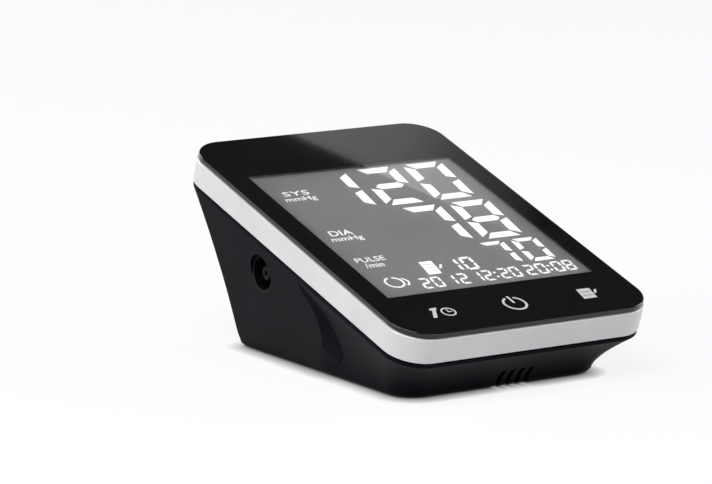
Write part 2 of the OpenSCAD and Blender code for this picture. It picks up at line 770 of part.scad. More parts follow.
module battery_door() {
    color("#17181b") base() difference() {
        union() {
            block([-door_half, hinge_y, base_z], [door_half, door_rear, door_top]);
            rod([-door_half, hinge_y, hinge_z], knuckle_r, 2 * door_half, "x");
            rod([-door_half - stub_l, hinge_y, hinge_z], stub_r, 2 * (door_half + stub_l), "x");
            block([-latch_half, door_rear - skin, base_z + 0.6], [latch_half, door_rear + 1.1, door_top]);
        }
        // Slit round the latch tongue, and its finger grooves
        for (x = [-latch_half - 1.6, latch_half + 0.8])
            block([x, door_rear - 9, base_z - over], [x + 0.8, door_rear + over, door_top + over]);
        for (i = [0 : 4])
            rod([-4, door_rear - 2.2 - 1.3 * i, base_z - 0.25], 0.5, 8, "x");
        // Ribs on the inside are left by two shallow pockets
        for (x = [-door_half + 3, 1.5])
            block([x, hinge_y + 4, door_top - 0.5], [x + door_half - 4.5, door_rear - 12, door_top + over]);
    }
}

module case_screws() {
    color("#8d9094") base() for (x = [-case_screw_x, case_screw_x]) difference() {
        union() {
            rod([x, case_screw_y, base_z + counter_h - head_h], head_r, head_h - skin);
            rod([x, case_screw_y, base_z + counter_h - skin * 2], screw_r - 0.25 - skin, case_screw_l);
        }
        cross_recess([x, case_screw_y, base_z + counter_h - head_h], 1);
    }
}

// A cross recess in a screw head that faces up or down
module cross_recess(p, up) {
    for (a = [0, 90]) translate(p) rotate([0, 0, a])
        translate([-1.1, -0.22, up > 0 ? -over : -0.6]) cube([2.2, 0.44, over + 0.6]);
}

// ---------------------------------------------------------------- cells

function cell_y(i) = bay_y0 + cell_pitch * (i - 0.5);
function cell_side(i) = i % 2 == 1 ? 1 : -1;

module cell(i) {
    d = cell_side(i);
    tip = bay_l / 2 - plate_t - skin;
    color("#3c6f6a") base() translate([0, cell_y(i), cell_z]) mirror([d < 0 ? 1 : 0, 0, 0]) difference() {
        union() {
            rod([tip - cell_l, 0, 0], cell_r, cell_l - nub_h, "x", fine);
            rod([tip - nub_h - skin, 0, 0], nub_r, nub_h + skin, "x");
        }
        ring([tip - nub_h - 0.5, 0, 0], cell_r - 0.9, nub_r + 1, 1, "x", fine);
    }
}
module battery_cells() { for (i = [1 : cell_count]) cell(i); }

module cell_springs() {
    wire = 0.4;
    color("#b9bcc0") base() for (i = [1 : cell_count]) {
        d = cell_side(i);
        translate([-d * (bay_l / 2 - plate_t - wire), cell_y(i), cell_z]) rotate([0, d * 90, 0])
            coil(4.6, 2.8, spring_l - 2 * wire, 3.5, wire);
    }
}

function tab_y(i) = cell_y(i) - (i == 1 ? 0 : 4);

module cell_plates() {
    x = bay_l / 2;
    z0 = cell_z - 5.5;
    z1 = cell_z + 5.5;
    color("#c4c6c9") base() {
        for (pair = [[1, 2], [3, 4]])
            block([x - plate_t, cell_y(pair[0]) - 5.5, z0], [x, cell_y(pair[1]) + 5.5, z1]);
        for (group = [[1, 1], [2, 3], [4, 4]])
            block([-x, cell_y(group[0]) - 5.5, z0], [plate_t - x, cell_y(group[1]) + 5.5, z1]);
        for (i = [1, cell_count])
            block([-x, tab_y(i) - 1.5, z0], [plate_t - x, tab_y(i) + 1.5, roof_z + 2.5]);
    }
}

// ---------------------------------------------------------------- display and board

module lcd_glass() {
    color("#8a8d8c") deck() translate([0, screen_mid_v, 0]) {
        translate([0, 0, glass_top - glass_t / 2]) linear_extrude(glass_t / 2)
            square([glass_w, glass_l], center = true);
        translate([0, 0, glass_low]) linear_extrude(glass_t / 2)
            square([glass_w, glass_l], center = true);
    }
}

module light_guide() {
    color("#e6e8e8") deck() translate([0, screen_mid_v, light_low])
        linear_extrude(light_t - skin) square([glass_w - 1, glass_l - 2 * ledge_l], center = true);
}

module lcd_tray() {
    color("#dcdcd8") deck() difference() {
        union() {
            translate([0, screen_mid_v, tray_low]) linear_extrude(-tray_low - rest)
                square([tray_w, tray_l], center = true);
            for (u = [-board_rear_u, board_rear_u]) rod([u, board_rear_v, board_top + skin], 2.4, board_gap);
        }
        translate([0, screen_mid_v, light_low - skin]) linear_extrude(10)
            square([glass_w - 1 + 2 * rest, glass_l - 2 * ledge_l + 2 * rest], center = true);
        translate([0, screen_mid_v, glass_low - rest / 2]) linear_extrude(10)
            square([glass_w + 2 * rest, glass_l + 2 * rest], center = true);
        // Slot for the contact strip, and screw holes
        block([-strip_half - rest, glass_v + 0.7, tray_low - over],
              [strip_half + rest, glass_v + 0.7 + strip_t, 0]);
        for (u = [-board_rear_u, board_rear_u])
            rod([u, board_rear_v, board_top - over], board_screw_r, over + board_gap + tray_floor * 0.7);
    }
}

strip_in = 5.7;                             // how far the contact strip stops short of the screen
strip_half = screen_w / 2 - strip_in;
strip_t = 2.4;
module zebra_strip() {
    layer = 0.75;
    color("#3a3f44") deck() for (i = [0 : 2])
        block([-strip_half + skin, glass_v + 0.8 + layer * i, board_top + skin],
              [strip_half - skin, glass_v + 0.8 + layer * (i + 1) - (i < 2 ? 0 : 0.05),
               glass_low - rest / 2 - skin]);
}

module main_board() {
    color("#1f6b3a") deck() difference() {
        translate([0, 0, board_low]) linear_extrude(board_t) polygon([
            [board_cut - board_w / 2, board_v0], [board_w / 2 - board_cut, board_v0],
            [board_w / 2, board_v0 + board_cut], [board_w / 2, board_v1],
            [-board_w / 2, board_v1], [-board_w / 2, board_v0 + board_cut]]);
        for (u = [-board_post_u, board_post_u], v = board_post_v)
            rod([u, v, board_low - over], board_hole_r, board_t + 2 * over);
        for (u = [-board_rear_u, board_rear_u])
            rod([u, board_rear_v, board_low - over], board_hole_r, board_t + 2 * over);
    }
}

// A flat-pack chip under the board, with a row of legs on each side
module flat_chip(u, v, size, h, legs) {
    low = board_low - h;
    block([u - size / 2, v - size / 2, low], [u + size / 2, v + size / 2, board_low - 0.15]);
    pitch = (size - 1) / legs;
    for (turn = [0 : 90 : 270], i = [0 : legs - 1]) translate([u, v, 0]) rotate([0, 0, turn])
        block([size / 2 - skin, pitch * (i + 0.5) - size / 2 + 0.5 - 0.15, board_low - 0.35],
              [size / 2 + 0.9, pitch * (i + 0.5) - size / 2 + 0.5 + 0.15, board_low - skin / 2]);
}

chip_places = [[6, 52], [24, 40], [-10, 72]];
chip_sizes = [12, 7, 6];
chip_heights = [1.6, 1.4, 1.4];
chip_legs = [8, 5, 4];
module board_chips() {
    color("#1b1b1d") deck() for (i = [0 : 2])
        flat_chip(chip_places[i][0], chip_places[i][1], chip_sizes[i], chip_heights[i], chip_legs[i]);
}

capacitor_places = [[22, 58, 3.1, 7], [14, 64, 2.5, 6], [-20, 46, 3.1, 6]];
module board_capacitors() {
    color("#3b4a57") deck() for (c = capacitor_places) {
        rod([c[0], c[1], board_low - c[3] - skin], c[2], c[3], "z");
        block([c[0] - c[2], c[1] - c[2], board_low - 0.9], [c[0] + c[2], c[1] + c[2], board_low - skin]);
    }
}

connector_in = [9, 18.1];                   // from the board's right and left sides
connector_w = 6;
connector_places = [[board_w / 2 - connector_in[0], 75], [connector_in[1] - board_w / 2, 82],
                    [-14, 60], [-4, 30], [22, 72]];
module board_connectors() {
    color("#e9e6da") deck() for (c = connector_places) difference() {
        translate([c[0], c[1], board_low]) {
            half = connector_w / 2;
            block([-half, -2.5, -4.5], [half, 2.5, -skin]);
        }
        translate([c[0], c[1], board_low]) {
            half = connector_w / 2 - 0.7;
            block([-half, -1.8, -5.5], [half, 1.8, -1.2]);
        }
    }
}

module board_screws() {
    color("#8d9094") deck() {
        for (u = [-board_post_u, board_post_u], v = board_post_v) board_screw([u, v], 5.6);
        for (u = [-board_rear_u, board_rear_u]) board_screw([u, board_rear_v], 2.8);
    }
}

module board_screw(p, l) {
    difference() {
        union() {
            rod([p[0], p[1], board_low - 1.2], 1.9, 1.2 - skin);
            rod([p[0], p[1], board_low - skin * 2], board_screw_r - skin, l);
        }
        cross_recess([p[0], p[1], board_low - 1.2], 1);
    }
}

module touch_springs() {
    wire = 0.3;
    h = tape_t - board_top - 2 * wire - 2 * skin;
    color("#c9a75c") deck() for (u = [-key_u, 0, key_u])
        translate([u, key_v, board_top + wire + skin]) coil(key_spring_r, key_spring_r, h, 4, wire);
}

module pressure_sensor() {
    w = board_low - skin;
    color("#2a2b2e") deck() difference() {
        union() {
            block([sensor_u - 5, sensor_v - 4, w - sensor_h], [sensor_u + 5, sensor_v + 4, w]);
            rod([sensor_u, sensor_v, sensor_w], barb_r, 5 + sensor_barb, "x");
            for (u = [-4 : 2.54 : 4], v = [-4.9, 4])
                block([sensor_u + u, sensor_v + v, w - 1.4], [sensor_u + u + 0.5, sensor_v + v + 0.9, w]);
        }
        rod([sensor_u, sensor_v, sensor_w], 0.6, 12, "x");
    }
}

// ---------------------------------------------------------------- sockets and air way

jack_floor = 2.6;                           // thickness of the socket's inner end
module dc_jack() {
    x0 = jack_face - jack_l;
    color("#141517") base() difference() {
        block([x0, jack_y - jack_w / 2, jack_z - jack_h / 2],
              [jack_face, jack_y + jack_w / 2, jack_z + jack_h / 2]);
        rod([x0 + jack_floor, jack_y, jack_z], jack_r, jack_l, "x", fine);
        rod([x0 + 1, jack_y, jack_z], jack_pin_r + 0.4 + skin, jack_l, "x");
    }
}

module dc_pin() {
    x0 = jack_face - jack_l;
    color("#cfd1d4") base() {
        rod([x0 + 1.1, jack_y, jack_z], jack_pin_r + 0.4, jack_floor - 1.1, "x");
        rod([x0 + jack_floor - skin, jack_y, jack_z], jack_pin_r, jack_l - jack_floor - 1 + skin, "x", fine);
        translate([jack_face - 1, jack_y, jack_z]) sphere(r = jack_pin_r, $fn = fine);
    }
}

module air_socket() {
    x0 = -socket_face + socket_lip;
    color("#101113") base() difference() {
        rod([x0, socket_y, socket_z], socket_r + socket_wall, socket_depth, "x", fine);
        rod([x0 - over, socket_y, socket_z], socket_r, socket_depth - socket_floor + over, "x", fine);
        rod([x0, socket_y, socket_z], nozzle_r + 0.5 + skin, socket_depth + over, "x", fine);
        // Groove for the clip behind the wall
        ring([x0 + 6.4, socket_y, socket_z], socket_r + socket_wall + over, socket_r + socket_wall - 0.5,
             1.1, "x", fine);
    }
}

module air_nozzle() {
    x0 = -socket_face + nozzle_in;
    floor_x = socket_tail - socket_floor;
    root = nozzle_r + 0.5;
    turn_x = socket_tail + elbow_x;
    color("#4a4c50") base() difference() {
        union() {
            rod([x0, socket_y, socket_z], nozzle_r, floor_x - x0 + skin, "x", fine);
            rod([floor_x, socket_y, socket_z], root, socket_floor + 1, "x", fine);
            rod([floor_x + socket_floor, socket_y, socket_z], barb_r, elbow_x, "x");
            translate([turn_x, socket_y, socket_z]) sphere(r = barb_r, $fn = plain);
            rod([turn_x, socket_y - elbow_l, socket_z], barb_r, elbow_l, "y");
        }
        rod([x0 - over, socket_y, socket_z], airway_r, turn_x - x0 + over, "x");
        rod([turn_x, socket_y - elbow_l - over, socket_z], airway_r, elbow_l + over, "y");
    }
}

module socket_clip() {
    x0 = -socket_face + socket_lip + 6.5;
    color("#9a9da1") base() difference() {
        ring([x0, socket_y, socket_z], socket_r + socket_wall + 1.6, socket_r + socket_wall - 0.4, 0.9,
             "x", fine);
        block([x0 - over, socket_y - 3, socket_z], [x0 + 2, socket_y + 3, socket_z + 12]);
    }
}

// The manifold: socket on its left, sensor on its front, valve and pump on its back
manifold_barb = 4.5;
module air_manifold() {
    p = [manifold_x, manifold_y, manifold_z];
    way = 0.8;
    across = manifold_half + manifold_barb;
    along = manifold_r + manifold_barb;
    color("#d8d8d2") base() difference() {
        union() {
            block(p - [manifold_half, manifold_r, manifold_r], p + [manifold_half, manifold_r, manifold_r]);
            block([manifold_x - manifold_half, manifold_y - 1, roof_z + skin], p + [manifold_half, 1, 0]);
            rod(p - [across, 0, 0], barb_r, across, "x");
            for (x = [-port_x, port_x]) rod(p + [x, 0, 0], barb_r, along, "y");
            rod(p + [port_x, -along, 0], barb_r, along, "y");
        }
        rod(p - [across + over, 0, 0], way, across + over + port_x, "x");
        for (x = [-port_x, port_x]) rod(p + [x, 0, 0], way, along + over, "y");
        rod(p + [port_x, -along - over, 0], way, along + over, "y");
    }
}

// A soft tube pushed over a barb at each end; each direction points away from its barb's root
module air_tube(from, from_dir, to, to_dir, slack, side = [0, 0, 1]) {
    a = from + tube_grip * from_dir;
    b = to + tube_grip * to_dir;
    color("#e4e3dc") base()
        swept(from, [a, a + slack * from_dir, b + slack * to_dir, b], to, tube_r, barb_r + 0.08, 14, 16,
              side);
}

barb_start = 1;                             // bare length at a barb's root
module socket_tube() {
    port = [manifold_x - manifold_half - barb_start, manifold_y, manifold_z];
    air_tube([socket_tail + elbow_x, socket_y - elbow_l + tube_grip - 0.3, socket_z], [0, -1, 0],
             port, [-1, 0, 0], 5);
}

module pump_tube() {
    port = [manifold_x + port_x, manifold_y + manifold_r + barb_start, manifold_z];
    air_tube([pump_end - 3 - barb_start, pump_y, pump_z], [-1, 0, 0], port, [0, 1, 0], 6);
}

module valve_tube() {
    port = [manifold_x - port_x, manifold_y + manifold_r + barb_start, manifold_z];
    air_tube([valve_x, valve_y - valve_d / 2 - barb_start, cap_barb_z], [0, -1, 0], port, [0, 1, 0], 7,
             [1, 0, 0]);
}

module sensor_tube() {
    sensor = on_deck([sensor_u + 5 + barb_start, sensor_v], sensor_w);
    port = [manifold_x + port_x, manifold_y - manifold_r - barb_start, manifold_z];
    air_tube(sensor, [1, 0, 0], port, [0, -1, 0], 6);
}

// ---------------------------------------------------------------- pump

module on_pump() { base() translate([0, pump_y, pump_z]) children(); }

module motor_can() {
    color("#a9adb1") on_pump() difference() {
        rod([pump_x, 0, 0], can_r, can_l, "x", fine);
        rod([pump_x + 1.2, 0, 0], can_r - can_wall, can_l, "x", fine);
        rod([pump_x - over, 0, 0], shaft_r + shaft_gap, 4, "x");
    }
}

module motor_cap() {
    color("#e8e6e0") on_pump() difference() {
        union() {
            rod([pump_x + can_l - 2.5, 0, 0], can_r - can_wall - 0.05, 2.5, "x", fine);
            rod([pump_x + can_l - 0.02, 0, 0], 3, 1.5, "x");
        }
        rod([pump_x + can_l - 3.5, 0, 0], shaft_r + shaft_gap, 6, "x");
        for (y = [-8, 6]) block([pump_x + can_l - 3.5, y, -1], [pump_x + can_l + 3, y + 2, 1]);
    }
}

module motor_magnets() {
    bore = core_r + core_gap;
    color("#3f4144") on_pump() for (a = [0, 180]) rotate([a, 0, 0]) rotate([0, 90, 0])
        translate([0, 0, pump_x + 3]) rotate([0, 0, -62]) rotate_extrude(angle = 124, $fn = fine)
            translate([bore, 0]) square([can_r - can_wall - bore - 0.05, magnet_l]);
}

module motor_brushes() {
    color("#b87a45") on_pump() for (s = [-1, 1])
        block([pump_x + 19, s > 0 ? 3.1 : -7, -0.8], [pump_x + can_l - 2.5 - skin, s > 0 ? 7 : -3.1, 0.8]);
}

module motor_shaft() {
    color("#cfd2d5") on_pump()
        rod([crank_x + skin, 0, 0], shaft_r, can_l + pump_x - crank_x + 1.2, "x", fine);
}

module motor_core() {
    color("#7c7f83") on_pump() difference() {
        rod([pump_x + 4, 0, 0], core_r, core_l, "x", fine);
        rod([pump_x + 3, 0, 0], shaft_r + skin, core_l + 2, "x");
        for (a = [0 : 120 : 240]) rotate([a, 0, 0]) {
            block([pump_x + 3, 3, -3.2], [pump_x + 17, 7.2, 3.2]);
            block([pump_x + 3, 6, -0.9], [pump_x + 17, 10, 0.9]);
        }
    }
}

module motor_windings() {
    color("#b4642c") on_pump() for (a = [0 : 120 : 240]) rotate([a, 0, 0])
        block([pump_x + 2.4, 3 + rest, -3.2 + rest], [pump_x + 17.6, 7.2 - rest, 3.2 - rest]);
}

module motor_commutator() {
    color("#c98a4b") on_pump() difference() {
        ring([pump_x + 18.2, 0, 0], 3, shaft_r + skin, 3.2, "x");
        for (a = [0 : 120 : 240]) rotate([a, 0, 0]) block([pump_x + 17, 1.6, -0.2], [pump_x + 23, 4, 0.2]);
    }
}

crank_x = pump_x - 6.5;
module pump_crank() {
    color("#e2ddd0") on_pump() {
        ring([crank_x - skin, 0, 0], 4, shaft_r + skin, 5, "x");
        rod([crank_x - 0.6, 0, 0], 4, 0.6, "x");
        rod([crank_x - 3, 0, crank_throw], 0.75, 2.6, "x");
    }
}

module pump_screw_holes(x0, l, r) {
    for (a = [60 : 120 : 300]) rotate([a, 0, 0]) rod([x0, 0, pump_screw_ring], r, l, "x");
}

housing_x = pump_x - housing_l;
module pump_housing() {
    color("#2c2e31") on_pump() difference() {
        rod([housing_x, 0, 0], pump_r, housing_l - skin, "x", fine);
        rod([housing_x - over, 0, 0], 10.6, housing_l - 1.4 + over, "x", fine);
        rod([housing_x, 0, 0], 3, housing_l + over, "x");
        pump_screw_holes(housing_x - over, 8, pump_screw_r + 0.05);
    }
}

plate_x = crank_x - 2.2;
module wobble_plate() {
    color("#d9d5c8") on_pump() difference() {
        union() {
            rod([plate_x - 1.2, 0, 0], 3.6, 2.6, "x");
            for (a = [0 : 120 : 240]) rotate([a, 0, 0])
                block([plate_x - 1.2, 0, -2], [plate_x, stud_ring + 2, 2]);
        }
        rod([plate_x - 3, 0, 0], 2.1, 8, "x", fine);
        for (a = [0 : 120 : 240]) rotate([a, 0, 0]) rod([plate_x - 3, stud_ring, 0], 1.3, 6, "x");
    }
}

diaphragm_x = housing_x - diaphragm_t;
module pump_diaphragm() {
    color("#45474b") on_pump() difference() {
        union() {
            rod([diaphragm_x, 0, 0], pump_r, diaphragm_t - skin, "x", fine);
            for (a = [0 : 120 : 240]) rotate([a, 0, 0])
                rod([diaphragm_x + 0.2, stud_ring, 0], 1.2, plate_x - diaphragm_x + 0.6, "x");
        }
        pump_screw_holes(diaphragm_x - over, 6, pump_screw_r + 0.05);
        for (a = [0 : 120 : 240]) rotate([a, 0, 0])
            ring([diaphragm_x - over, stud_ring, 0], 3.2, 2, over + 0.8, "x");
    }
}

module pump_valves() {
    color("#d8d2c2") on_pump() for (a = [0 : 120 : 240]) rotate([a, 0, 0])
        rod([pump_end + 5.2, stud_ring, 0], 2.6, 0.6, "x");
}

module pump_head() {
    color("#2c2e31") on_pump() difference() {
        union() {
            rod([pump_end, 0, 0], pump_r, head_l - skin, "x", fine);
            rod([pump_end - 3, 0, 0], 6, 3 + skin, "x");
            rod([outlet_x, 0, 0], barb_r, barb_l + skin, "x");
        }
        rod([outlet_x - over, 0, 0], 0.9, barb_l + 8, "x");
        ring([pump_end + 3.5, 0, 0], 10, 4, 4, "x", fine);
        pump_screw_holes(pump_end - over, 12, pump_screw_r + 0.05);
    }
}

module pump_screws() {
    color("#9ea1a5") on_pump() for (a = [60 : 120 : 300]) rotate([a, 0, 0]) {
        rod([pump_end - 1.2, 0, pump_screw_ring], 1.5, 1.2 - skin, "x");
        rod([pump_end - skin * 2, 0, pump_screw_ring], pump_screw_r, head_l + diaphragm_t + 5, "x");
    }
}

module pump_cushion() {
    color("#35373b") on_pump() ring([cushion_x0, 0, 0], pump_r, can_r + skin, cushion_l, "x", fine);
}

strap_r = pump_r + 0.05;
strap_hole_y = pump_y - pump_r - 4.6;
module pump_strap() {
    leg = pump_z - strap_foot_z;
    color("#b4b8bc") on_pump() translate([strap_x, 0, 0]) difference() {
        union() {
            rotate([0, 90, 0]) rotate([0, 0, 90]) rotate_extrude(angle = 180, $fn = fine)
                translate([strap_r, 0]) square([strap_t, strap_w]);
            block([0, -strap_r - strap_t, -leg], [strap_w, -strap_r, 0.1]);
            block([0, strap_r, 1.5 - leg], [strap_w, strap_r + strap_t, 0.1]);
            block([0, -strap_r - strap_t - 6.6, -leg], [strap_w, -strap_r, strap_t - leg]);
            block([0, strap_r, 1.5 - leg], [strap_w, strap_r + 3, 1.5 + strap_t - leg]);
        }
        rod([strap_w / 2, -pump_r - 4.6, -leg - over], 1.1, 4);
    }
}

module strap_screw() {
    p = [strap_x + strap_w / 2, strap_hole_y, strap_foot_z + strap_t + skin];
    color("#8d9094") base() difference() {
        union() {
            rod(p, 1.9, 1.2);
            rod(p - [0, 0, strap_t + 2.4], 0.8 - skin, strap_t + 2.4 + skin);
        }
        cross_recess(p + [0, 0, 1.2], -1);
    }
}

// ---------------------------------------------------------------- exhaust valve

module valve_yoke() {
    x0 = valve_x - valve_w / 2;
    x1 = valve_x + valve_w / 2;
    y0 = valve_y - valve_d / 2;
    y1 = valve_y + valve_d / 2;
    color("#a3a7ab") base() difference() {
        union() {
            block([x0, y0, valve_z], [x1, y1, valve_z + yoke_t]);
            block([x0, y0, yoke_top - yoke_t], [x1, y1, yoke_top]);
            block([x0, y0, valve_z], [x0 + 1, y1, yoke_top]);
            block([x1 - 1, y0, valve_z], [x1, y1, yoke_top]);
        }
        rod([valve_x, valve_y, yoke_top - yoke_t - over], plunger_r + plunger_gap, yoke_t + 2 * over,
            "z", fine);
    }
}

module valve_coil() {
    z0 = valve_z + yoke_t + 0.2;
    color("#8c4a2a") base() {
        ring([valve_x, valve_y, z0], coil_r, plunger_r + plunger_gap, coil_h, "z", fine);
    }
}

module valve_cap() {
    x0 = valve_x - valve_w / 2;
    z0 = yoke_top + skin;
    y_in = valve_y - valve_d / 2;
    color("#ece9df") base() difference() {
        union() {
            block([x0, y_in, z0], [x0 + valve_w, y_in + valve_d, z0 + cap_h]);
            rod([valve_x, y_in - 5, cap_barb_z], barb_r, 5 + skin, "y");
        }
        rod([valve_x, valve_y, z0 - over], 2.6, spring_top - z0 + over, "z", fine);
        rod([valve_x, valve_y, z0], 0.7, cap_barb_z - z0, "z");
        rod([valve_x, y_in - 5 - over, cap_barb_z], 0.9, valve_d / 2 + 5 + over, "y");
        rod([valve_x, valve_y, z0 + 0.7], 0.6, 8, "y");
    }
}

module valve_plunger() {
    color("#babdc1") base() difference() {
        rod([valve_x, valve_y, plunger_low], plunger_r, plunger_high - plunger_low, "z", fine);
        rod([valve_x, valve_y, plunger_high - 1.5], 0.9, 3);
    }
}

module valve_seal() {
    color("#35373b") base() {
        rod([valve_x, valve_y, plunger_high - 1.5 + skin], 0.9 - skin, 1.6);
        rod([valve_x, valve_y, plunger_high + skin], 1.3, 0.98);
    }
}

module valve_spring() {
    h = spring_top - plunger_high - 2 * spring_wire - 2 * skin;
    color("#c6c9cc") base() translate([valve_x, valve_y, plunger_high + spring_wire + skin])
        coil(2.0, 2.0, h, 2.5, spring_wire);
}

// ---------------------------------------------------------------- speaker and wires

module speaker_frame() {
    color("#5d6065") base() translate([speaker_x, speaker_y, speaker_z]) {
        difference() {
            rod([0, 0, 0], speaker_r, 2.4, "z", fine);
            rod([0, 0, -over], speaker_r - speaker_rim, 2.6, "z", fine);
            rod([0, 0, 1], 5.5, 1.9, "z", fine);
        }
    }
}

module speaker_magnet() {
    color("#3f4144") base() ring([speaker_x, speaker_y, speaker_z + 2.4 + skin], 7.5, 2, 2.6, "z", fine);
}

module speaker_cone() {
    color("#2d2f33") base() translate([speaker_x, speaker_y, speaker_z + 0.4]) {
        ring([0, 0, 0], speaker_r - speaker_rim - 0.1, 7, 0.3, "z", fine);
        rotate_extrude($fn = fine) polygon([[0, 0.7], [5, 0.7], [7.4, 0], [7.4, 0.3], [5.2, 1.0], [0, 1.0]]);
    }
}

wire_r = 0.45;
wire_gap = 1.2;
module wires() {
    terminal = pump_x + can_l + 1.2 + wire_r;
    tab = wire_r - bay_l / 2 + plate_t / 2;
    coil_side = valve_x - valve_w / 2 - skin - wire_r;
    speaker_rear = speaker_y + speaker_r - 4.6;
    jack_end = jack_face - jack_l - skin - wire_r;
    bay_side = -bay_l / 2 - skin - wire_r;
    color("#b03030") {
        for (k = [-1, 1]) {
            lead(connector_places[0], k, [terminal, pump_y + 7 * k, pump_z], [1, 0, 0], 5);
            lead(connector_places[1], (k + 1) / 2, [coil_side, valve_y - 3.5, valve_z + 8 - 2 * k],
                 [-1, 0, 0], 3);
            lead(connector_places[3], k, [speaker_x + 4.6 * k, speaker_rear, speaker_z + 2.5 + wire_r],
                 [0, 0, 1], 7);
            lead(connector_places[4], k, [jack_end, jack_y + 2.5 * k, jack_z], [-1, 0, 0], 3);
        }
        lead(connector_places[2], -1, [tab, tab_y(1), roof_z + 2.5 + skin + wire_r], [0, 0, 1], 9);
        lead(connector_places[1], -1, [bay_side, tab_y(cell_count), roof_z + 1.8], [-1, 0, 0], 2);
    }
}

// One lead from a connector under the board to a terminal
module lead(plug, k, to, to_dir, slack) {
    u = plug[0] + wire_gap * k;
    w = board_low - 1.3;
    down = [0, st, -ct];
    from = on_deck([u, plug[1]], w);
    a = from + 3.6 * down;
    curve = [a, a + slack * down, to + (1 + slack) * to_dir, to + to_dir];
    base() swept(from, curve, to, wire_r, 0, 12, 8, [1, 0.1, 0]);
}

front_panel();
display_lens();
panel_tape();
silver_frame();
lower_case();
battery_door();
rubber_feet();
case_screws();
battery_cells();
cell_springs();
cell_plates();
lcd_glass();
light_guide();
lcd_tray();
zebra_strip();
main_board();
board_chips();
board_capacitors();
board_connectors();
board_screws();
touch_springs();
pressure_sensor();
dc_jack();
dc_pin();
air_socket();
air_nozzle();
socket_clip();
air_manifold();
socket_tube();
pump_tube();
valve_tube();
sensor_tube();
motor_can();
motor_cap();
motor_magnets();
motor_brushes();
motor_shaft();
motor_core();
motor_windings();
motor_commutator();
pump_crank();
pump_housing();
wobble_plate();
pump_diaphragm();
pump_valves();
pump_head();
pump_screws();
pump_cushion();
pump_strap();
strap_screw();
valve_yoke();
valve_coil();
valve_cap();
valve_plunger();
valve_seal();
valve_spring();
speaker_frame();
speaker_magnet();
speaker_cone();
wires();
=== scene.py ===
"""Looks of a desktop blood pressure monitor: finishes, screen figures, key marks and studio.

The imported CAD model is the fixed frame. Every CAD node keeps its shape and gets a procedural
finish, and the printed and displayed marks are modelled here. All lengths are in metres in
Blender; the classes hold them in millimetres, as the CAD source does.
"""

import logging
import math
from dataclasses import dataclass, field
from enum import Enum
from typing import Callable, Iterable

import bmesh
import bpy
from mathutils import Matrix, Vector


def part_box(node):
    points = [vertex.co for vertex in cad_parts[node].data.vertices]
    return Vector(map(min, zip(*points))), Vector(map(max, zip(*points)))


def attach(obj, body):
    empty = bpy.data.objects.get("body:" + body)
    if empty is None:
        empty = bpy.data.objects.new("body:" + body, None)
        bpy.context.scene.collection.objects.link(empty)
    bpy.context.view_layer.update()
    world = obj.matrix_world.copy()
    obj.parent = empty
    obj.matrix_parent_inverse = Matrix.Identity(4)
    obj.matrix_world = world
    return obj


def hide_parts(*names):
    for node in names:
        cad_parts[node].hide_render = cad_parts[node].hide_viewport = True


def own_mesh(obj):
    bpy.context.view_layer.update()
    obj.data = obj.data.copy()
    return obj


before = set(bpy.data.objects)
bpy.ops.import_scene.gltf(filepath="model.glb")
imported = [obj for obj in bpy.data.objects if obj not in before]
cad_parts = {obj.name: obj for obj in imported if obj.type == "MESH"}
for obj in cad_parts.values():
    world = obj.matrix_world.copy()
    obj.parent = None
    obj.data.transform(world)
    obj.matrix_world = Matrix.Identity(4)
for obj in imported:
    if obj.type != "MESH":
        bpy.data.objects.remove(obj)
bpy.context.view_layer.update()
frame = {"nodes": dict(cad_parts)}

MM = 0.001
SAME_SPOT = 1e-7  # corners closer than this, in metres, are one corner
FACING = 0.9  # how squarely a picked face looks along an axis
UPRIGHT = 0.5  # an upright face looks up by less than this
CROSSWAYS = 0.3  # a face across a ring looks outwards by less than this
LOG = logging.getLogger("monitor")

Colour = tuple[float, float, float, float]
Point = tuple[float, float, float]
Spot = tuple[float, float]
Box = tuple[float, float, float, float]
Socket = bpy.types.NodeSocket
Tree = bpy.types.NodeTree
Piece = bpy.types.Object


# ------------ helpers


def linear(code: str, alpha: float = 1.0) -> Colour:
    """Turns an sRGB colour of six hex digits after a hash sign into linear values with an alpha."""
    parts = [int(code[i : i + 2], 16) / 255 for i in (1, 3, 5)]
    return tuple(c / 12.92 if c <= 0.04045 else ((c + 0.055) / 1.055) ** 2.4 for c in parts) + (alpha,)


def add_node(
    tree: Tree,
    kind: str,
    values: dict | None = None,
    links: dict | None = None,
    **settings: object,
) -> bpy.types.Node:
    """Adds one shader node with its settings, socket values and links.

    Args:
        tree: The material's or world's node tree.
        kind: The node's type name without its ShaderNode prefix.
        values: Input socket name or number to its value.
        links: Input socket name or number to the output that feeds it.
        **settings: The node's own properties.

    Returns:
        The new node.
    """
    made = tree.nodes.new("ShaderNode" + kind)
    for key, value in settings.items():
        setattr(made, key, value)
    for key, value in (values or {}).items():
        made.inputs[key].default_value = value
    for key, source in (links or {}).items():
        tree.links.new(source, made.inputs[key])
    return made


def deselect() -> None:
    """Leaves edit mode and deselects every object."""
    if bpy.context.mode != "OBJECT":
        bpy.ops.object.mode_set(mode="OBJECT")
    bpy.ops.object.select_all(action="DESELECT")


def settle(piece: Piece, place: Matrix = Matrix.Identity(4)) -> Piece:
    """Moves a piece's own placing, and then a further one, into its mesh.

    Args:
        piece: The object, whose placing becomes the identity.
        place: What is applied after the object's own placing.

    Returns:
        The same object.
    """
    bpy.context.view_layer.update()
    piece.data.transform(place @ piece.matrix_world)
    piece.matrix_world = Matrix.Identity(4)
    return piece


def copy_of(piece: Piece) -> Piece:
    """Copies an object with a mesh of its own.

    Args:
        piece: The object.

    Returns:
        The copy.
    """
    twin = piece.copy()
    twin.data = piece.data.copy()
    bpy.context.collection.objects.link(twin)
    return twin


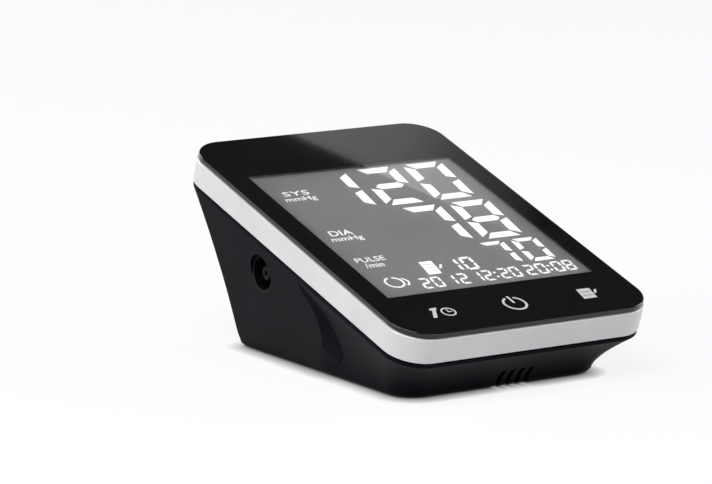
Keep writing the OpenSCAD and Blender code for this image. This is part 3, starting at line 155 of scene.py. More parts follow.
def join(parts: list[Piece], name: str) -> Piece:
    """Joins objects into one.

    Args:
        parts: The objects, which are used up.
        name: The joined object's name.

    Returns:
        The joined object.
    """
    deselect()
    for part in parts:
        part.select_set(True)
    bpy.context.view_layer.objects.active = parts[0]
    if len(parts) > 1:
        bpy.ops.object.join()
    parts[0].name = name
    parts[0].data.name = name
    return parts[0]


def edit(piece: Piece) -> bmesh.types.BMesh:
    """Opens a piece in edit mode with nothing selected.

    Args:
        piece: The object.

    Returns:
        Its edit mesh.
    """
    deselect()
    piece.select_set(True)
    bpy.context.view_layer.objects.active = piece
    bpy.ops.object.mode_set(mode="EDIT")
    bpy.ops.mesh.select_mode(type="FACE")
    bpy.ops.mesh.select_all(action="DESELECT")
    return bmesh.from_edit_mesh(piece.data)


def pick_faces(piece: Piece, wanted: Callable[[bmesh.types.BMFace], bool]) -> None:
    """Selects the faces of the piece in edit mode that pass a test.

    Args:
        piece: The object in edit mode.
        wanted: The test, given a face.
    """
    mesh = bmesh.from_edit_mesh(piece.data)
    for face in mesh.faces:
        face.select = wanted(face)
    mesh.select_flush_mode()
    bmesh.update_edit_mesh(piece.data)


def pick_edges(piece: Piece, wanted: Callable[[bmesh.types.BMEdge], bool]) -> None:
    """Selects the edges of the piece in edit mode that pass a test.

    Args:
        piece: The object in edit mode.
        wanted: The test, given an edge.
    """
    bpy.ops.mesh.select_mode(type="EDGE")
    mesh = bmesh.from_edit_mesh(piece.data)
    for edge in mesh.edges:
        edge.select = wanted(edge)
    mesh.select_flush_mode()
    bmesh.update_edit_mesh(piece.data)


def close_edit() -> None:
    """Merges doubled corners, turns all normals outwards and leaves edit mode."""
    bpy.ops.mesh.select_all(action="SELECT")
    bpy.ops.mesh.remove_doubles(threshold=SAME_SPOT)
    bpy.ops.mesh.normals_make_consistent(inside=False)
    bpy.ops.object.mode_set(mode="OBJECT")


def slab(low: Point, high: Point, name: str = "slab") -> Piece:
    """Adds a box between two corners given in millimetres.

    Args:
        low: The lowest corner.
        high: The highest corner.
        name: The object's name.

    Returns:
        The box, with its place in its mesh.
    """
    deselect()
    a, b = Vector(low) * MM, Vector(high) * MM
    bpy.ops.mesh.primitive_cube_add(size=1, location=(a + b) / 2, scale=b - a)
    made = bpy.context.object
    made.name = name
    return settle(made)


# ------------ the model's own frame


@dataclass(frozen=True)
class Deck:
    """The sloping deck's axes: u across, v up the slope, w out of it, all in millimetres."""

    tilt: float = 17.7
    front_z: float = 23.6
    middle_y: float = 69.2334
    panel_top: float = 2.0
    glass_top: float = -0.1

    def matrix(self) -> Matrix:
        """Gives the placing that takes deck metres to the object's frame."""
        place = Matrix.Translation(Vector((0, -self.middle_y, self.front_z)) * MM)
        return place @ Matrix.Rotation(math.radians(self.tilt), 4, "X")


DECK = Deck()


# ------------ finishes

NOISE_RANGE = (0.3, 0.7)  # where most of a pattern's values lie
FINE_SHARE = 0.3  # how much of the shade the finest grain adds
BUMP_STRENGTH = 0.6
COAT_ROUGH = 0.1


class Grain(Enum):
    """What draws a finish's fine pattern."""

    NOISE = "TexNoise"
    CELLS = "TexVoronoi"


@dataclass(frozen=True)
class Finish:
    """A finish made of a base colour with a mottle, a fine grain and its relief."""

    name: str
    colour: str
    shade: str
    rough: float = 0.4
    spread: float = 0.08
    metallic: float = 0.0
    ior: float = 1.5
    specular: float = 0.5
    coat: float = 0.0
    grain_mm: float = 0.4
    relief_mm: float = 0.01
    mottle_mm: float = 12.0
    stretch: Point = (1, 1, 1)
    grain: Grain = Grain.NOISE

    def spots(self, tree: Tree, size_mm: float, stretch: Point = (1, 1, 1)) -> Socket:
        """Gives object coordinates in units of a real size.

        Args:
            tree: The material's node tree.
            size_mm: The unit.
            stretch: How much longer it is along each axis.

        Returns:
            The coordinates' output.
        """
        scale = [1 / (size_mm * MM * s) for s in stretch]
        place = add_node(tree, "TexCoord")
        links = {"Vector": place.outputs["Object"]}
        return add_node(tree, "Mapping", {"Scale": scale}, links).outputs[0]

    def pattern(self, tree: Tree, size_mm: float, grain: Grain, stretch: Point = (1, 1, 1)) -> Socket:
        """Draws a pattern of a real size in object coordinates.

        Args:
            tree: The material's node tree.
            size_mm: The size of one grain.
            grain: What draws it.
            stretch: How much longer a grain is along each axis.

        Returns:
            The pattern's value output.
        """
        links = {"Vector": self.spots(tree, size_mm, stretch)}
        values = {"Scale": 1.0} if grain is Grain.CELLS else {"Scale": 1.0, "Detail": 3.0}
        drawn = add_node(tree, grain.value, values, links)
        return drawn.outputs["Distance" if grain is Grain.CELLS else "Fac"]

    def spread_over(self, tree: Tree, value: Socket, low: float, high: float) -> Socket:
        """Maps the middle of a pattern's range onto two values and returns the output."""
        values = {"From Min": NOISE_RANGE[0], "From Max": NOISE_RANGE[1], "To Min": low, "To Max": high}
        return add_node(tree, "MapRange", values, {"Value": value}).outputs[0]

    def blend(
        self, tree: Tree, factor: Socket, a: Colour | Socket, b: Colour | Socket
    ) -> Socket:
        """Mixes two colours by a factor.

        Args:
            tree: The material's node tree.
            factor: The output that drives the mix.
            a: A colour, or an output, at 0.
            b: A colour, or an output, at 1.

        Returns:
            The mixed colour's output.
        """
        values = {k: v for k, v in ((6, a), (7, b)) if isinstance(v, tuple)}
        links = {k: v for k, v in ((6, a), (7, b)) if not isinstance(v, tuple)}
        links[0] = factor
        return add_node(tree, "Mix", values, links, data_type="RGBA").outputs[2]

    def tint(self, tree: Tree, fine: Socket) -> Socket:
        """Mottles the base colour with the shade.

        Args:
            tree: The material's node tree.
            fine: The fine pattern's output.

        Returns:
            The colour's output.
        """
        coarse = self.pattern(tree, self.mottle_mm, Grain.NOISE)
        shade = linear(self.shade)
        base = self.blend(tree, self.spread_over(tree, coarse, 0, 1), linear(self.colour), shade)
        return self.blend(tree, self.spread_over(tree, fine, 0, FINE_SHARE), base, shade)

    def shader(self, tree: Tree) -> bpy.types.Node:
        """Adds the surface shader with its constants and its patterns.

        Args:
            tree: The material's node tree.

        Returns:
            The shader node.
        """
        fine = self.pattern(tree, self.grain_mm, self.grain, self.stretch)
        rough = self.spread_over(tree, fine, self.rough - self.spread, self.rough + self.spread)
        values = {"Distance": self.relief_mm * MM, "Strength": BUMP_STRENGTH}
        bump = add_node(tree, "Bump", values, {"Height": fine})
        values = {"Metallic": self.metallic, "IOR": self.ior, "Specular IOR Level": self.specular}
        values.update({"Coat Weight": self.coat, "Coat Roughness": COAT_ROUGH})
        links = {"Base Color": self.tint(tree, fine), "Roughness": rough, "Normal": bump.outputs[0]}
        return add_node(tree, "BsdfPrincipled", values, links)

    def material(self) -> bpy.types.Material:
        """Makes the material, once.

        Returns:
            The material.
        """
        made = bpy.data.materials.get(self.name)
        if made is None:
            made = bpy.data.materials.new(self.name)
            made.use_nodes = True
            tree = made.node_tree
            tree.nodes.clear()
            surface = self.shader(tree)
            add_node(tree, "OutputMaterial", links={"Surface": surface.outputs[0]})
            made.diffuse_color = linear(self.colour)
        return made

    def dress(self, pieces: Iterable[Piece]) -> None:
        """Gives pieces this finish as their only material.

        Args:
            pieces: The objects.
        """
        for piece in pieces:
            piece.data.materials.clear()
            piece.data.materials.append(self.material())


@dataclass(frozen=True)
class ClearPane(Finish):
    """Moulded clear acrylic: sharp reflections, and its shadow lets the light through."""

    def shader(self, tree: Tree) -> bpy.types.Node:
        """Adds the glass with a see-through shadow.

        Args:
            tree: The material's node tree.

        Returns:
            The shader node.
        """
        fine = self.pattern(tree, self.grain_mm, self.grain, self.stretch)
        rough = self.spread_over(tree, fine, self.rough, self.rough + self.spread)
        values = {"Base Color": linear(self.colour), "Transmission Weight": 1.0, "IOR": self.ior}
        glass = add_node(tree, "BsdfPrincipled", values, {"Roughness": rough})
        clear = add_node(tree, "BsdfTransparent", {"Color": linear(self.shade)})
        path = add_node(tree, "LightPath")
        links = {0: path.outputs["Is Shadow Ray"], 1: glass.outputs[0], 2: clear.outputs[0]}
        return add_node(tree, "MixShader", links=links)


@dataclass(frozen=True)
class Circuit(Finish):
    """Green solder mask over copper tracks that run in steps."""

    track: str = "#2f8a4c"
    track_mm: float = 2.4

    def tint(self, tree: Tree, fine: Socket) -> Socket:
        """Draws lighter bands where tracks lie under the mask.

        Args:
            tree: The material's node tree.
            fine: The fine pattern's output.

        Returns:
            The colour's output.
        """
        links = {"Vector": self.spots(tree, self.track_mm)}
        values = {"Scale": 0.8, "Mortar Size": 0.06, "Brick Width": 2.2, "Row Height": 0.9}
        values.update({"Color1": (0, 0, 0, 1), "Color2": (0.25, 0.25, 0.25, 1), "Mortar": (1, 1, 1, 1)})
        tracks = add_node(tree, "TexBrick", values, links)
        ground = super().tint(tree, fine)
        return self.blend(tree, tracks.outputs["Color"], ground, linear(self.track))


@dataclass(frozen=True)
class Bands(Finish):
    """A finish with bands along one axis: a cell's sleeve, a wound wire or a laminated core."""

    band: str = "#c9a23c"
    axis: int = 0
    band_mm: float = 1.0
    share: float = 0.5
    centre_mm: float = 0.0
    soft: float = 0.08

    def height(self, tree: Tree) -> Socket:
        """Gives 1 inside each band and 0 between them, with a soft edge.

        Args:
            tree: The material's node tree.

        Returns:
            The value's output.
        """
        place = add_node(tree, "TexCoord")
        parts = add_node(tree, "SeparateXYZ", links={0: place.outputs["Object"]})
        values = {1: -self.centre_mm * MM}
        moved = add_node(tree, "Math", values, {0: parts.outputs[self.axis]}, operation="ADD")
        values = {1: self.band_mm * MM}
        wave = add_node(tree, "Math", values, {0: moved.outputs[0]}, operation="PINGPONG")
        edge = self.share * self.band_mm * MM
        values = {"From Min": edge * (1 + self.soft), "From Max": edge * (1 - self.soft)}
        return add_node(tree, "MapRange", values, {"Value": wave.outputs[0]}).outputs[0]

    def tint(self, tree: Tree, fine: Socket) -> Socket:
        """Gives the colour's output: the ground with its bands."""
        return self.blend(tree, self.height(tree), super().tint(tree, fine), linear(self.band))


@dataclass(frozen=True)
class Lit(Finish):
    """Display figures: white segments that a light guide behind the glass makes bright."""

    glow: float = 0.2

    def shader(self, tree: Tree) -> bpy.types.Node:
        """Adds the surface shader with its own light.

        Args:
            tree: The material's node tree.

        Returns:
            The shader node.
        """
        surface = super().shader(tree)
        surface.inputs["Emission Color"].default_value = linear(self.colour)
        surface.inputs["Emission Strength"].default_value = self.glow
        return surface


# High-gloss acrylic, back-printed black: deep black with sharp reflections and faint hairlines.
PANEL = Finish("gloss_black_acrylic", "#141415", "#101011", 0.03, 0.01, ior=1.47,
               grain_mm=0.9, relief_mm=0.00005, mottle_mm=30)
# Clear acrylic window: nothing but its reflections shows.
PANE = ClearPane("clear_acrylic", "#fdfdfd", "#f6f6f6", 0.0, 0.01, ior=1.47, grain_mm=2, relief_mm=0)
# Black foam tape: matt with open pores.
TAPE = Finish("foam_tape", "#1e1e1e", "#141414", 0.85, grain_mm=0.25, relief_mm=0.02, grain=Grain.CELLS)
# Satin silver lacquer over moulded ABS: pale, even, with fine metal flakes.
SILVER = Finish("silver_lacquer", "#cfd0d1", "#c6c7c9", 0.36, 0.05, metallic=0.25, coat=0.15,
                grain_mm=0.16, relief_mm=0.0015, mottle_mm=18)
# Spark-eroded black ABS: a fine even grain that breaks up the highlights.
CASE = Finish("spark_eroded_abs", "#0c0b13", "#09090f", 0.45, 0.06, ior=1.46, specular=0.034,
              grain_mm=0.32, relief_mm=0.012, mottle_mm=22)
# Thermoplastic rubber feet: matt, slightly dusty.
RUBBER = Finish("foot_rubber", "#1f2022", "#2a2b2d", 0.75, 0.1, grain_mm=0.3, relief_mm=0.015,
                mottle_mm=4)
# Zinc-plated steel screws: bright with turning marks.
SCREW = Finish("zinc_plated_steel", "#a9abb0", "#8f9196", 0.3, 0.08, metallic=1.0,
               grain_mm=0.12, relief_mm=0.004, mottle_mm=2, stretch=(1, 1, 6))
# Shrink sleeve of a dry cell: teal with a pale band round each end.
CELL = Bands("cell_sleeve", "#1f6f74", "#195c62", 0.28, 0.04, coat=0.4, grain_mm=0.5, relief_mm=0.002,
             band="#cfd3d2", band_mm=25.2, share=0.13, centre_mm=25.2, soft=0.02)
# Nickel-plated spring steel: bright and slightly yellow.
NICKEL = Finish("nickel_plate", "#c8c5bd", "#b3b0a8", 0.22, 0.06, metallic=1.0, grain_mm=0.15,
                relief_mm=0.002, mottle_mm=3)
# Display glass behind its polarizer: even mid grey, dull under a glossy front film.
DISPLAY = Finish("lcd_polarizer", "#727272", "#6f6f6f", 0.5, 0.03, specular=0.2, coat=0.6,
                 grain_mm=0.5, relief_mm=0.0001, mottle_mm=40)
# Frosted acrylic light guide: milky with printed dots.
GUIDE = Finish("frosted_light_guide", "#e9ecec", "#d3d9da", 0.5, grain_mm=1.1, relief_mm=0.01,
               mottle_mm=20, grain=Grain.CELLS)
# Natural ABS of inner mouldings: ivory white, matt.
IVORY = Finish("natural_abs", "#dedbd0", "#cfcbbd", 0.5, grain_mm=0.35, relief_mm=0.008, mottle_mm=9)
# Zebra strip: layered conductive rubber.
ZEBRA = Bands("zebra_rubber", "#2a2c2f", "#222427", 0.8, grain_mm=0.3, relief_mm=0.004,
              band="#8d9196", band_mm=0.35, share=0.45)
# Printed circuit board: green solder mask over copper tracks.
BOARD = Circuit("solder_mask_board", "#1c5c37", "#174d2e", 0.3, 0.06, coat=0.3, grain_mm=0.5,
                relief_mm=0.002, mottle_mm=14)
# Moulded epoxy of chips: black, matt, fine.
CHIP = Finish("chip_epoxy", "#1a1a1c", "#232326", 0.55, grain_mm=0.15, relief_mm=0.005, mottle_mm=3)
# Capacitor sleeves: dark blue film with a pale stripe.
CAPACITOR = Bands("capacitor_sleeve", "#1c2a44", "#17233a", 0.3, coat=0.3, grain_mm=0.3,
                  relief_mm=0.003, band="#aab2bd", band_mm=4.0, share=0.12)
# Nylon connector housings: cream, slightly translucent.
NYLON = Finish("connector_nylon", "#e4dfca", "#d8d2ba", 0.45, grain_mm=0.3, relief_mm=0.004, mottle_mm=3)
# Gold-plated spring wire of the touch contacts.
GOLD = Finish("gold_plated_wire", "#d9b45c", "#c29b45", 0.25, 0.06, metallic=1.0, grain_mm=0.2,
              relief_mm=0.003, mottle_mm=2)
# Black nylon of the power and air sockets: semi-matt.
SOCKET = Finish("black_nylon", "#060607", "#0a0a0b", 0.5, 0.07, specular=0.1, grain_mm=0.3,
                relief_mm=0.006, mottle_mm=6)
# Black acetal nozzle: smooth with a soft sheen.
NOZZLE = Finish("black_acetal", "#08090a", "#060607", 0.4, 0.05, specular=0.08, grain_mm=0.25,
                relief_mm=0.003, mottle_mm=4)
# Bright rolled spring steel: brushed along its length.
CLIP = Finish("rolled_spring_steel", "#b7b9bc", "#9b9ea2", 0.28, 0.08, metallic=1.0, grain_mm=0.1,
              relief_mm=0.004, mottle_mm=4, stretch=(8, 1, 1))
# Silicone air tube: milky, soft highlights.
TUBE = Finish("silicone_tube", "#dfddd3", "#cfcdc1", 0.38, 0.05, grain_mm=0.6, relief_mm=0.004,
              mottle_mm=5)
# Deep-drawn plated motor can and yoke: satin with draw lines.
CAN = Finish("plated_steel_can", "#a3a6a8", "#8c8f92", 0.32, 0.09, metallic=1.0, grain_mm=0.12,
             relief_mm=0.004, mottle_mm=8, stretch=(12, 1, 1))
# Sintered ferrite magnets: dark grey, gritty.
FERRITE = Finish("sintered_ferrite", "#2b2c2e", "#3b3c3f", 0.75, 0.1, grain_mm=0.2, relief_mm=0.02,
                 mottle_mm=2, grain=Grain.CELLS)
# Laminated core: stacked electrical steel sheets.
CORE = Bands("laminated_core", "#6d7073", "#5c5f62", 0.4, metallic=1.0, grain_mm=0.3, relief_mm=0.004,
             band="#43464a", band_mm=0.5, share=0.3)
# Enamelled copper wire, wound turn beside turn.
COPPER = Bands("enamelled_copper", "#b3622c", "#9c5223", 0.3, metallic=0.9, coat=0.3, grain_mm=0.3,
               relief_mm=0.004, band="#7a3d18", axis=2, band_mm=0.3, share=0.35, soft=0.5)
# Nitrile rubber of the diaphragm and cushion: black and matt.
NITRILE = Finish("nitrile_rubber", "#1d1e20", "#27282b", 0.7, 0.08, grain_mm=0.35, relief_mm=0.01,
                 mottle_mm=5)
# Speaker cone: pressed film with a soft sheen.
CONE = Finish("speaker_film", "#2a2d31", "#202327", 0.4, grain_mm=0.6, relief_mm=0.01, mottle_mm=5)
# Stranded wire's PVC cover: red, glossy.
WIRE = Finish("pvc_wire", "#a32020", "#8b1a1a", 0.35, 0.05, grain_mm=0.5, relief_mm=0.004, mottle_mm=6)
# Display figures: white and lightly lit from behind.
FIGURES = Lit("lcd_figures", "#f4f4f2", "#eeeeec", 0.5, 0.05, specular=0.2, grain_mm=0.5,
              relief_mm=0.0005, mottle_mm=10, glow=0.12)
# White screen print on the panel: even, semi-matt ink.
INK = Finish("white_screen_print", "#dcdcda", "#d2d2d0", 0.5, 0.08, grain_mm=0.25, relief_mm=0.002,
             mottle_mm=5)

NODE_FINISHES: dict[Finish, tuple[str, ...]] = {
    PANEL: ("front_panel",),
    PANE: ("display_lens",),
    TAPE: ("panel_tape",),
    SILVER: ("silver_frame",),
    CASE: ("lower_case", "battery_door"),
    RUBBER: ("rubber_feet",),
    SCREW: ("case_screws", "board_screws", "pump_screws", "strap_screw"),
    CELL: ("battery_cells",),
    NICKEL: ("cell_springs", "cell_plates", "dc_pin", "valve_spring"),
    DISPLAY: ("lcd_glass",),
    GUIDE: ("light_guide",),
    IVORY: ("lcd_tray", "motor_cap", "valve_cap", "air_manifold", "pump_crank", "wobble_plate"),
    ZEBRA: ("zebra_strip",),
    BOARD: ("main_board",),
    CHIP: ("board_chips", "pressure_sensor"),
    CAPACITOR: ("board_capacitors",),
    NYLON: ("board_connectors",),
    GOLD: ("touch_springs",),
    SOCKET: ("dc_jack", "air_socket", "pump_housing", "pump_head"),
    NOZZLE: ("air_nozzle",),
    CLIP: ("socket_clip", "pump_strap"),
    TUBE: ("socket_tube", "pump_tube", "valve_tube", "sensor_tube", "pump_valves"),
    CAN: ("motor_can", "valve_yoke", "motor_shaft", "valve_plunger", "speaker_frame"),
    FERRITE: ("motor_magnets", "speaker_magnet"),
    CORE: ("motor_core",),
    COPPER: ("motor_windings", "motor_commutator", "motor_brushes", "valve_coil"),
    NITRILE: ("pump_diaphragm", "pump_cushion", "valve_seal"),
    CONE: ("speaker_cone",),
    WIRE: ("wires",),
}


# ------------ the CAD nodes


@dataclass
class CadNodes:
    """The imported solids: their finishes, and smooth shading across their facets."""

    nodes: dict[str, Piece]
    weld_mm: float = 0.001
    split_deg: float = 28.0
    case_split_deg: float = 15.0  # keeps the rim of the flat on each side
    face_on: float = 0.7  # from which a window's face isn't one of its narrow sides

    def smooth(self, piece: Piece, split_deg: float) -> None:
        """Adds the modifiers that shade round faces smoothly and keep real edges sharp.

        Args:
            piece: The CAD node's object, whose mesh stays as it is.
            split_deg: The angle from which an edge is sharp.
        """
        for face in piece.data.polygons:
            face.use_smooth = True
        weld = piece.modifiers.new("weld", "WELD")
        weld.merge_threshold = self.weld_mm * MM
        split = piece.modifiers.new("edges", "EDGE_SPLIT")
        split.split_angle = math.radians(split_deg)
        piece.modifiers.new("normals", "WEIGHTED_NORMAL")

    def blacken_sides(self, piece: Piece) -> None:
        """Gives the window's narrow sides the panel's black, as their printed rim is.

        Args:
            piece: The window's object.
        """
        out = DECK.matrix().to_3x3() @ Vector((0, 0, 1))
        piece.data.materials.append(PANEL.material())
        for face in piece.data.polygons:
            face.material_index = 0 if abs(face.normal.dot(out)) > self.face_on else 1

    def dress(self) -> None:
        """Gives every node its finish and its shading."""
        for finish, names in NODE_FINISHES.items():
            finish.dress(self.nodes[name] for name in names)
            LOG.info("%s: %s", finish.name, ", ".join(names))
        bare = sorted(set(self.nodes) - {n for names in NODE_FINISHES.values() for n in names})
        if bare:
            raise ValueError(f"no finish for {bare}")
        self.blacken_sides(self.nodes["display_lens"])
        for name, piece in self.nodes.items():
            self.smooth(piece, self.case_split_deg if name == "lower_case" else self.split_deg)


@dataclass(frozen=True)
class ValveSpring:
    """The exhaust valve's coil spring, which closes up as the plunger rises against the cap."""

    fixed_end: float = 36.4
    travel: float = 0.8
    sharp_deg: float = 40.0

    def build(self, node: Piece) -> None:
        """Models the coil from a merged copy of its CAD solid.

        Args:
            node: The CAD coil, which stays in the motion model.
        """
        coil = bpy.data.objects.new("closing_spring", node.data.copy())
        bpy.context.scene.collection.objects.link(coil)
        edit(coil)
        close_edit()
        bpy.ops.object.shade_smooth_by_angle(angle=math.radians(self.sharp_deg))
        NICKEL.dress([coil])
        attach(coil, "console")
        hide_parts("valve_spring")
        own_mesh(coil)


# ------------ flat marks


WORD_SIZE = 0.01  # before it is fitted to its box
WORD_WEIGHT = 0.00002  # how far its outline is spread
WORD_STEPS = 3
SPIN_STEP = 9.0  # degrees from one section of a ring to the next
FEWEST_STEPS = 8


def lean_over(piece: Piece, lean: float, foot: float = 0.0) -> Piece:
    """Leans a flat piece to the right as it rises.

    Args:
        piece: The object, in deck metres.
        lean: How far it moves across for each millimetre up.
        foot: The height in millimetres that stays in place.

    Returns:
        The same object.
    """
    tilt = Matrix.Identity(4)
    tilt[0][1] = lean
    tilt[0][3] = -lean * foot * MM
    return settle(piece, tilt)


def word(text: str, box: Box, thick: float) -> Piece:
    """Makes a word as a flat mesh that fills a box.

    Args:
        text: The word.
        box: Its left, right, lower and upper edges in millimetres.
        thick: Its thickness in millimetres.

    Returns:
        The word's object.
    """
    deselect()
    bpy.ops.object.text_add()
    made = bpy.context.object
    made.data.body = text
    made.data.size = WORD_SIZE
    made.data.offset = WORD_WEIGHT
    made.data.extrude = thick * MM / 2
    made.data.resolution_u = WORD_STEPS
    bpy.ops.object.convert(target="MESH")
    made = bpy.context.object
    spots = [v.co for v in made.data.vertices]
    low = Vector([min(p[i] for p in spots) for i in range(3)])
    high = Vector([max(p[i] for p in spots) for i in range(3)])
    size = Vector((box[1] - box[0], box[3] - box[2], thick)) * MM
    scale = Matrix.Diagonal([size[i] / (high[i] - low[i]) for i in range(3)] + [1])
    start = Matrix.Translation(Vector((box[0], box[2], 0)) * MM)
    settle(made, start @ scale @ Matrix.Translation(-low))
    edit(made)
    close_edit()
    return made


@dataclass(frozen=True)
class Ring:
    """A flat ring, or a part of one, in deck millimetres and degrees."""

    centre: Spot
    r: float
    stroke: float
    start: float = 0.0
    turn: float = 360.0

    def open_ends(self, made: Piece) -> None:
        """Removes the section that a closed ring started from.

        Args:
            made: The ring's object, in edit mode.
        """
        bpy.ops.mesh.select_all(action="SELECT")
        bpy.ops.mesh.remove_doubles(threshold=SAME_SPOT)
        mesh = bmesh.from_edit_mesh(made.data)
        upright = [f for f in mesh.faces if abs(f.normal.z) < UPRIGHT]
        inner = [
            f for f in upright if abs(f.normal.dot(f.calc_center_median().normalized())) < CROSSWAYS
        ]
        bmesh.ops.delete(mesh, geom=inner, context="FACES_ONLY")
        bmesh.update_edit_mesh(made.data)

    def build(self, thick: float) -> Piece:
        """Models the ring by spinning its section clockwise.

        Args:
            thick: Its thickness in millimetres.

        Returns:
            The ring's object.
        """
        deselect()
        bpy.ops.mesh.primitive_plane_add(size=1, location=(0, 0, 0), rotation=(math.radians(90), 0, 0))
        made = settle(bpy.context.object)
        settle(made, Matrix.Diagonal((self.stroke * MM, 1, thick * MM, 1)))
        settle(made, Matrix.Translation(Vector((self.r, 0, thick / 2)) * MM))
        settle(made, Matrix.Rotation(math.radians(self.start), 4, "Z"))
        edit(made)
        bpy.ops.mesh.select_all(action="SELECT")
        steps = max(FEWEST_STEPS, int(self.turn / SPIN_STEP))
        bpy.ops.mesh.spin(steps=steps, angle=math.radians(self.turn), center=(0, 0, 0), axis=(0, 0, 1))
        if self.turn >= 360:
            self.open_ends(made)
        close_edit()
        return settle(made, Matrix.Translation(Vector((*self.centre, 0)) * MM))


def bar(low: Spot, high: Spot, lean: float, thick: float) -> Piece:
    """Models a flat bar between two corners in millimetres, which leans over from its foot."""
    return lean_over(slab((*low, 0), (*high, thick)), lean, low[1])


@dataclass(frozen=True)
class Page:
    """A written page with a cut corner, and a pencil stroke beside it."""

    foot: Spot
    size: Spot
    pencil: Spot
    lines: int = 4
    border: float = 0.7
    space: float = 0.28
    corner: float = 0.5
    lean: float = 0.15
    pencil_size: Spot = (1.0, 2.3)
    pencil_lean: float = 0.6

    def build(self, name: str, thick: float) -> Piece:
        """Models the page's borders, its written lines and the pencil.

        Args:
            name: The object's name.
            thick: Its thickness in millimetres.

        Returns:
            The mark's object.
        """
        (w, h), border = self.size, self.border
        left = slab((0, 0, 0), (border, h, thick))
        right = slab((w - border, 0, 0), (w, h, thick))
        edit(right)
        x, y = (w - border / 2) * MM, h / 2 * MM
        pick_edges(right, lambda e: all(v.co.x > x and v.co.y > y for v in e.verts))
        bpy.ops.mesh.bevel(offset=self.corner * MM, segments=2)
        close_edit()
        pitch = (h + self.space) / self.lines
        feet = [i * pitch for i in range(self.lines)]
        rows = [slab((border, v, 0), (w - border, v + pitch - self.space, thick)) for v in feet]
        sheet = lean_over(join([left, right, *rows], name), self.lean)
        settle(sheet, Matrix.Translation(Vector((*self.foot, 0)) * MM))
        tip = tuple(a + b for a, b in zip(self.pencil, self.pencil_size))
        return join([sheet, bar(self.pencil, tip, self.pencil_lean, thick)], name)


# ------------ screen figures


# The seven strokes of a figure have their usual letters: a at the top, then clockwise, g in the middle.
STROKES: dict[str, str] = {
    "0": "abcdef", "1": "bc", "2": "abged", "7": "abc", "8": "abcdefg",
}


@dataclass
class FigureSet:
    """Seven-stroke figures, modelled once at the largest size and copied for each reading."""

    width: float = 16.4
    height: float = 27.0
    stroke: float = 3.65
    gap: float = 0.75
    start: float = 1.6  # of the top and foot strokes
    corner: float = 2.6  # the cut at an outer corner
    tip: float = 1.6  # the cut beside the middle stroke
    slant: float = 0.094
    thick: float = 0.04
    point: float = 0.1  # how wide the middle stroke's ends stay
    masters: dict[str, Piece] = field(default_factory=dict)

    def stroke_piece(self, low: Point, high: Point, inner: Point, cuts: Spot) -> Piece:
        """Models one stroke: a flat bar whose ends are cut on the slant.

        Args:
            low: The bar's lowest corner.
            high: The bar's highest corner.
            inner: The direction of the bar's shorter long side.
            cuts: How much that side is cut at the bar's lower and upper ends.

        Returns:
            The stroke's object.
        """
        stroke = slab(low, high)
        along = 0 if high[0] - low[0] > high[1] - low[1] else 1
        length = high[along] - low[along]
        edit(stroke)
        pick_faces(stroke, lambda f: f.normal.dot(Vector(inner)) > FACING)
        shrink, shift = [1.0, 1.0, 1.0], [0.0, 0.0, 0.0]
        shrink[along] = (length - sum(cuts)) / length
        shift[along] = (cuts[0] - cuts[1]) / 2 * MM
        bpy.ops.transform.resize(value=shrink)
        bpy.ops.transform.translate(value=shift)
        close_edit()
        return stroke

    def middle_piece(self, low: Point, high: Point) -> Piece:
        """Models the middle stroke, which is pointed at both ends.

        Args:
            low: The lowest corner of its straight part.
            high: The highest corner of its straight part.

        Returns:
            The stroke's object.
        """
        stroke = slab(low, high)
        edit(stroke)
        for side in (-1, 1):
            pick_faces(stroke, lambda f: f.normal.x * side > FACING)
            move = (side * self.tip * MM, 0, 0)
            bpy.ops.mesh.extrude_region_move(TRANSFORM_OT_translate={"value": move})
            bpy.ops.transform.resize(value=(1, self.point, 1))
        close_edit()
        return stroke

    def build(self) -> None:
        """Models the seven strokes at the figure's lower left corner."""
        w, h, s, g, t = self.width, self.height, self.stroke, self.gap, self.thick
        half, start, corner, mid = h / 2, self.start, self.corner, self.tip
        sides = {"a": (h - s, h, (0, -1, 0)), "d": (0, s, (0, 1, 0))}
        for name, (y0, y1, inner) in sides.items():
            low, high = (start, y0, 0), (w - start, y1, t)
            self.masters[name] = self.stroke_piece(low, high, inner, (corner, corner))
        posts = {"b": (w - s, half, (-1, 0, 0)), "c": (w - s, 0, (-1, 0, 0)),
                 "e": (0, 0, (1, 0, 0)), "f": (0, half, (1, 0, 0))}
        for name, (x0, y0, inner) in posts.items():
            ends = (g, start) if y0 else (start, g)
            cuts = (mid, corner) if y0 else (corner, mid)
            low, high = (x0, y0 + ends[0], 0), (x0 + s, y0 + half - ends[1], t)
            self.masters[name] = self.stroke_piece(low, high, inner, cuts)
        inset = s / 2 + mid + g
        self.masters["g"] = self.middle_piece((inset, half - s / 2, 0), (w - inset, half + s / 2, t))

    def figure(self, digit: str, u: float, v: float, width: float, height: float) -> Piece:
        """Copies the strokes of one figure to its place on the screen.

        Args:
            digit: The figure.
            u: Its left side at its foot.
            v: Its foot.
            width: Its width without the slant.
            height: Its height.

        Returns:
            The figure's object, in deck metres.
        """
        made = join([copy_of(self.masters[s]) for s in STROKES[digit]], "figure_" + digit)
        size = Matrix.Diagonal((width / self.width, height / self.height, 1, 1))
        lean_over(settle(made, size), self.slant)
        return settle(made, Matrix.Translation(Vector((u, v, 0)) * MM))

    def clear(self) -> None:
        """Removes the models that were only copied."""
        for master in self.masters.values():
            bpy.data.objects.remove(master)


@dataclass(frozen=True)
class Reading:
    """A row of figures on the screen, in deck millimetres."""

    name: str
    digits: tuple[tuple[str, float], ...]
    foot: float
    width: float
    height: float
    dots: tuple[float, ...] = ()


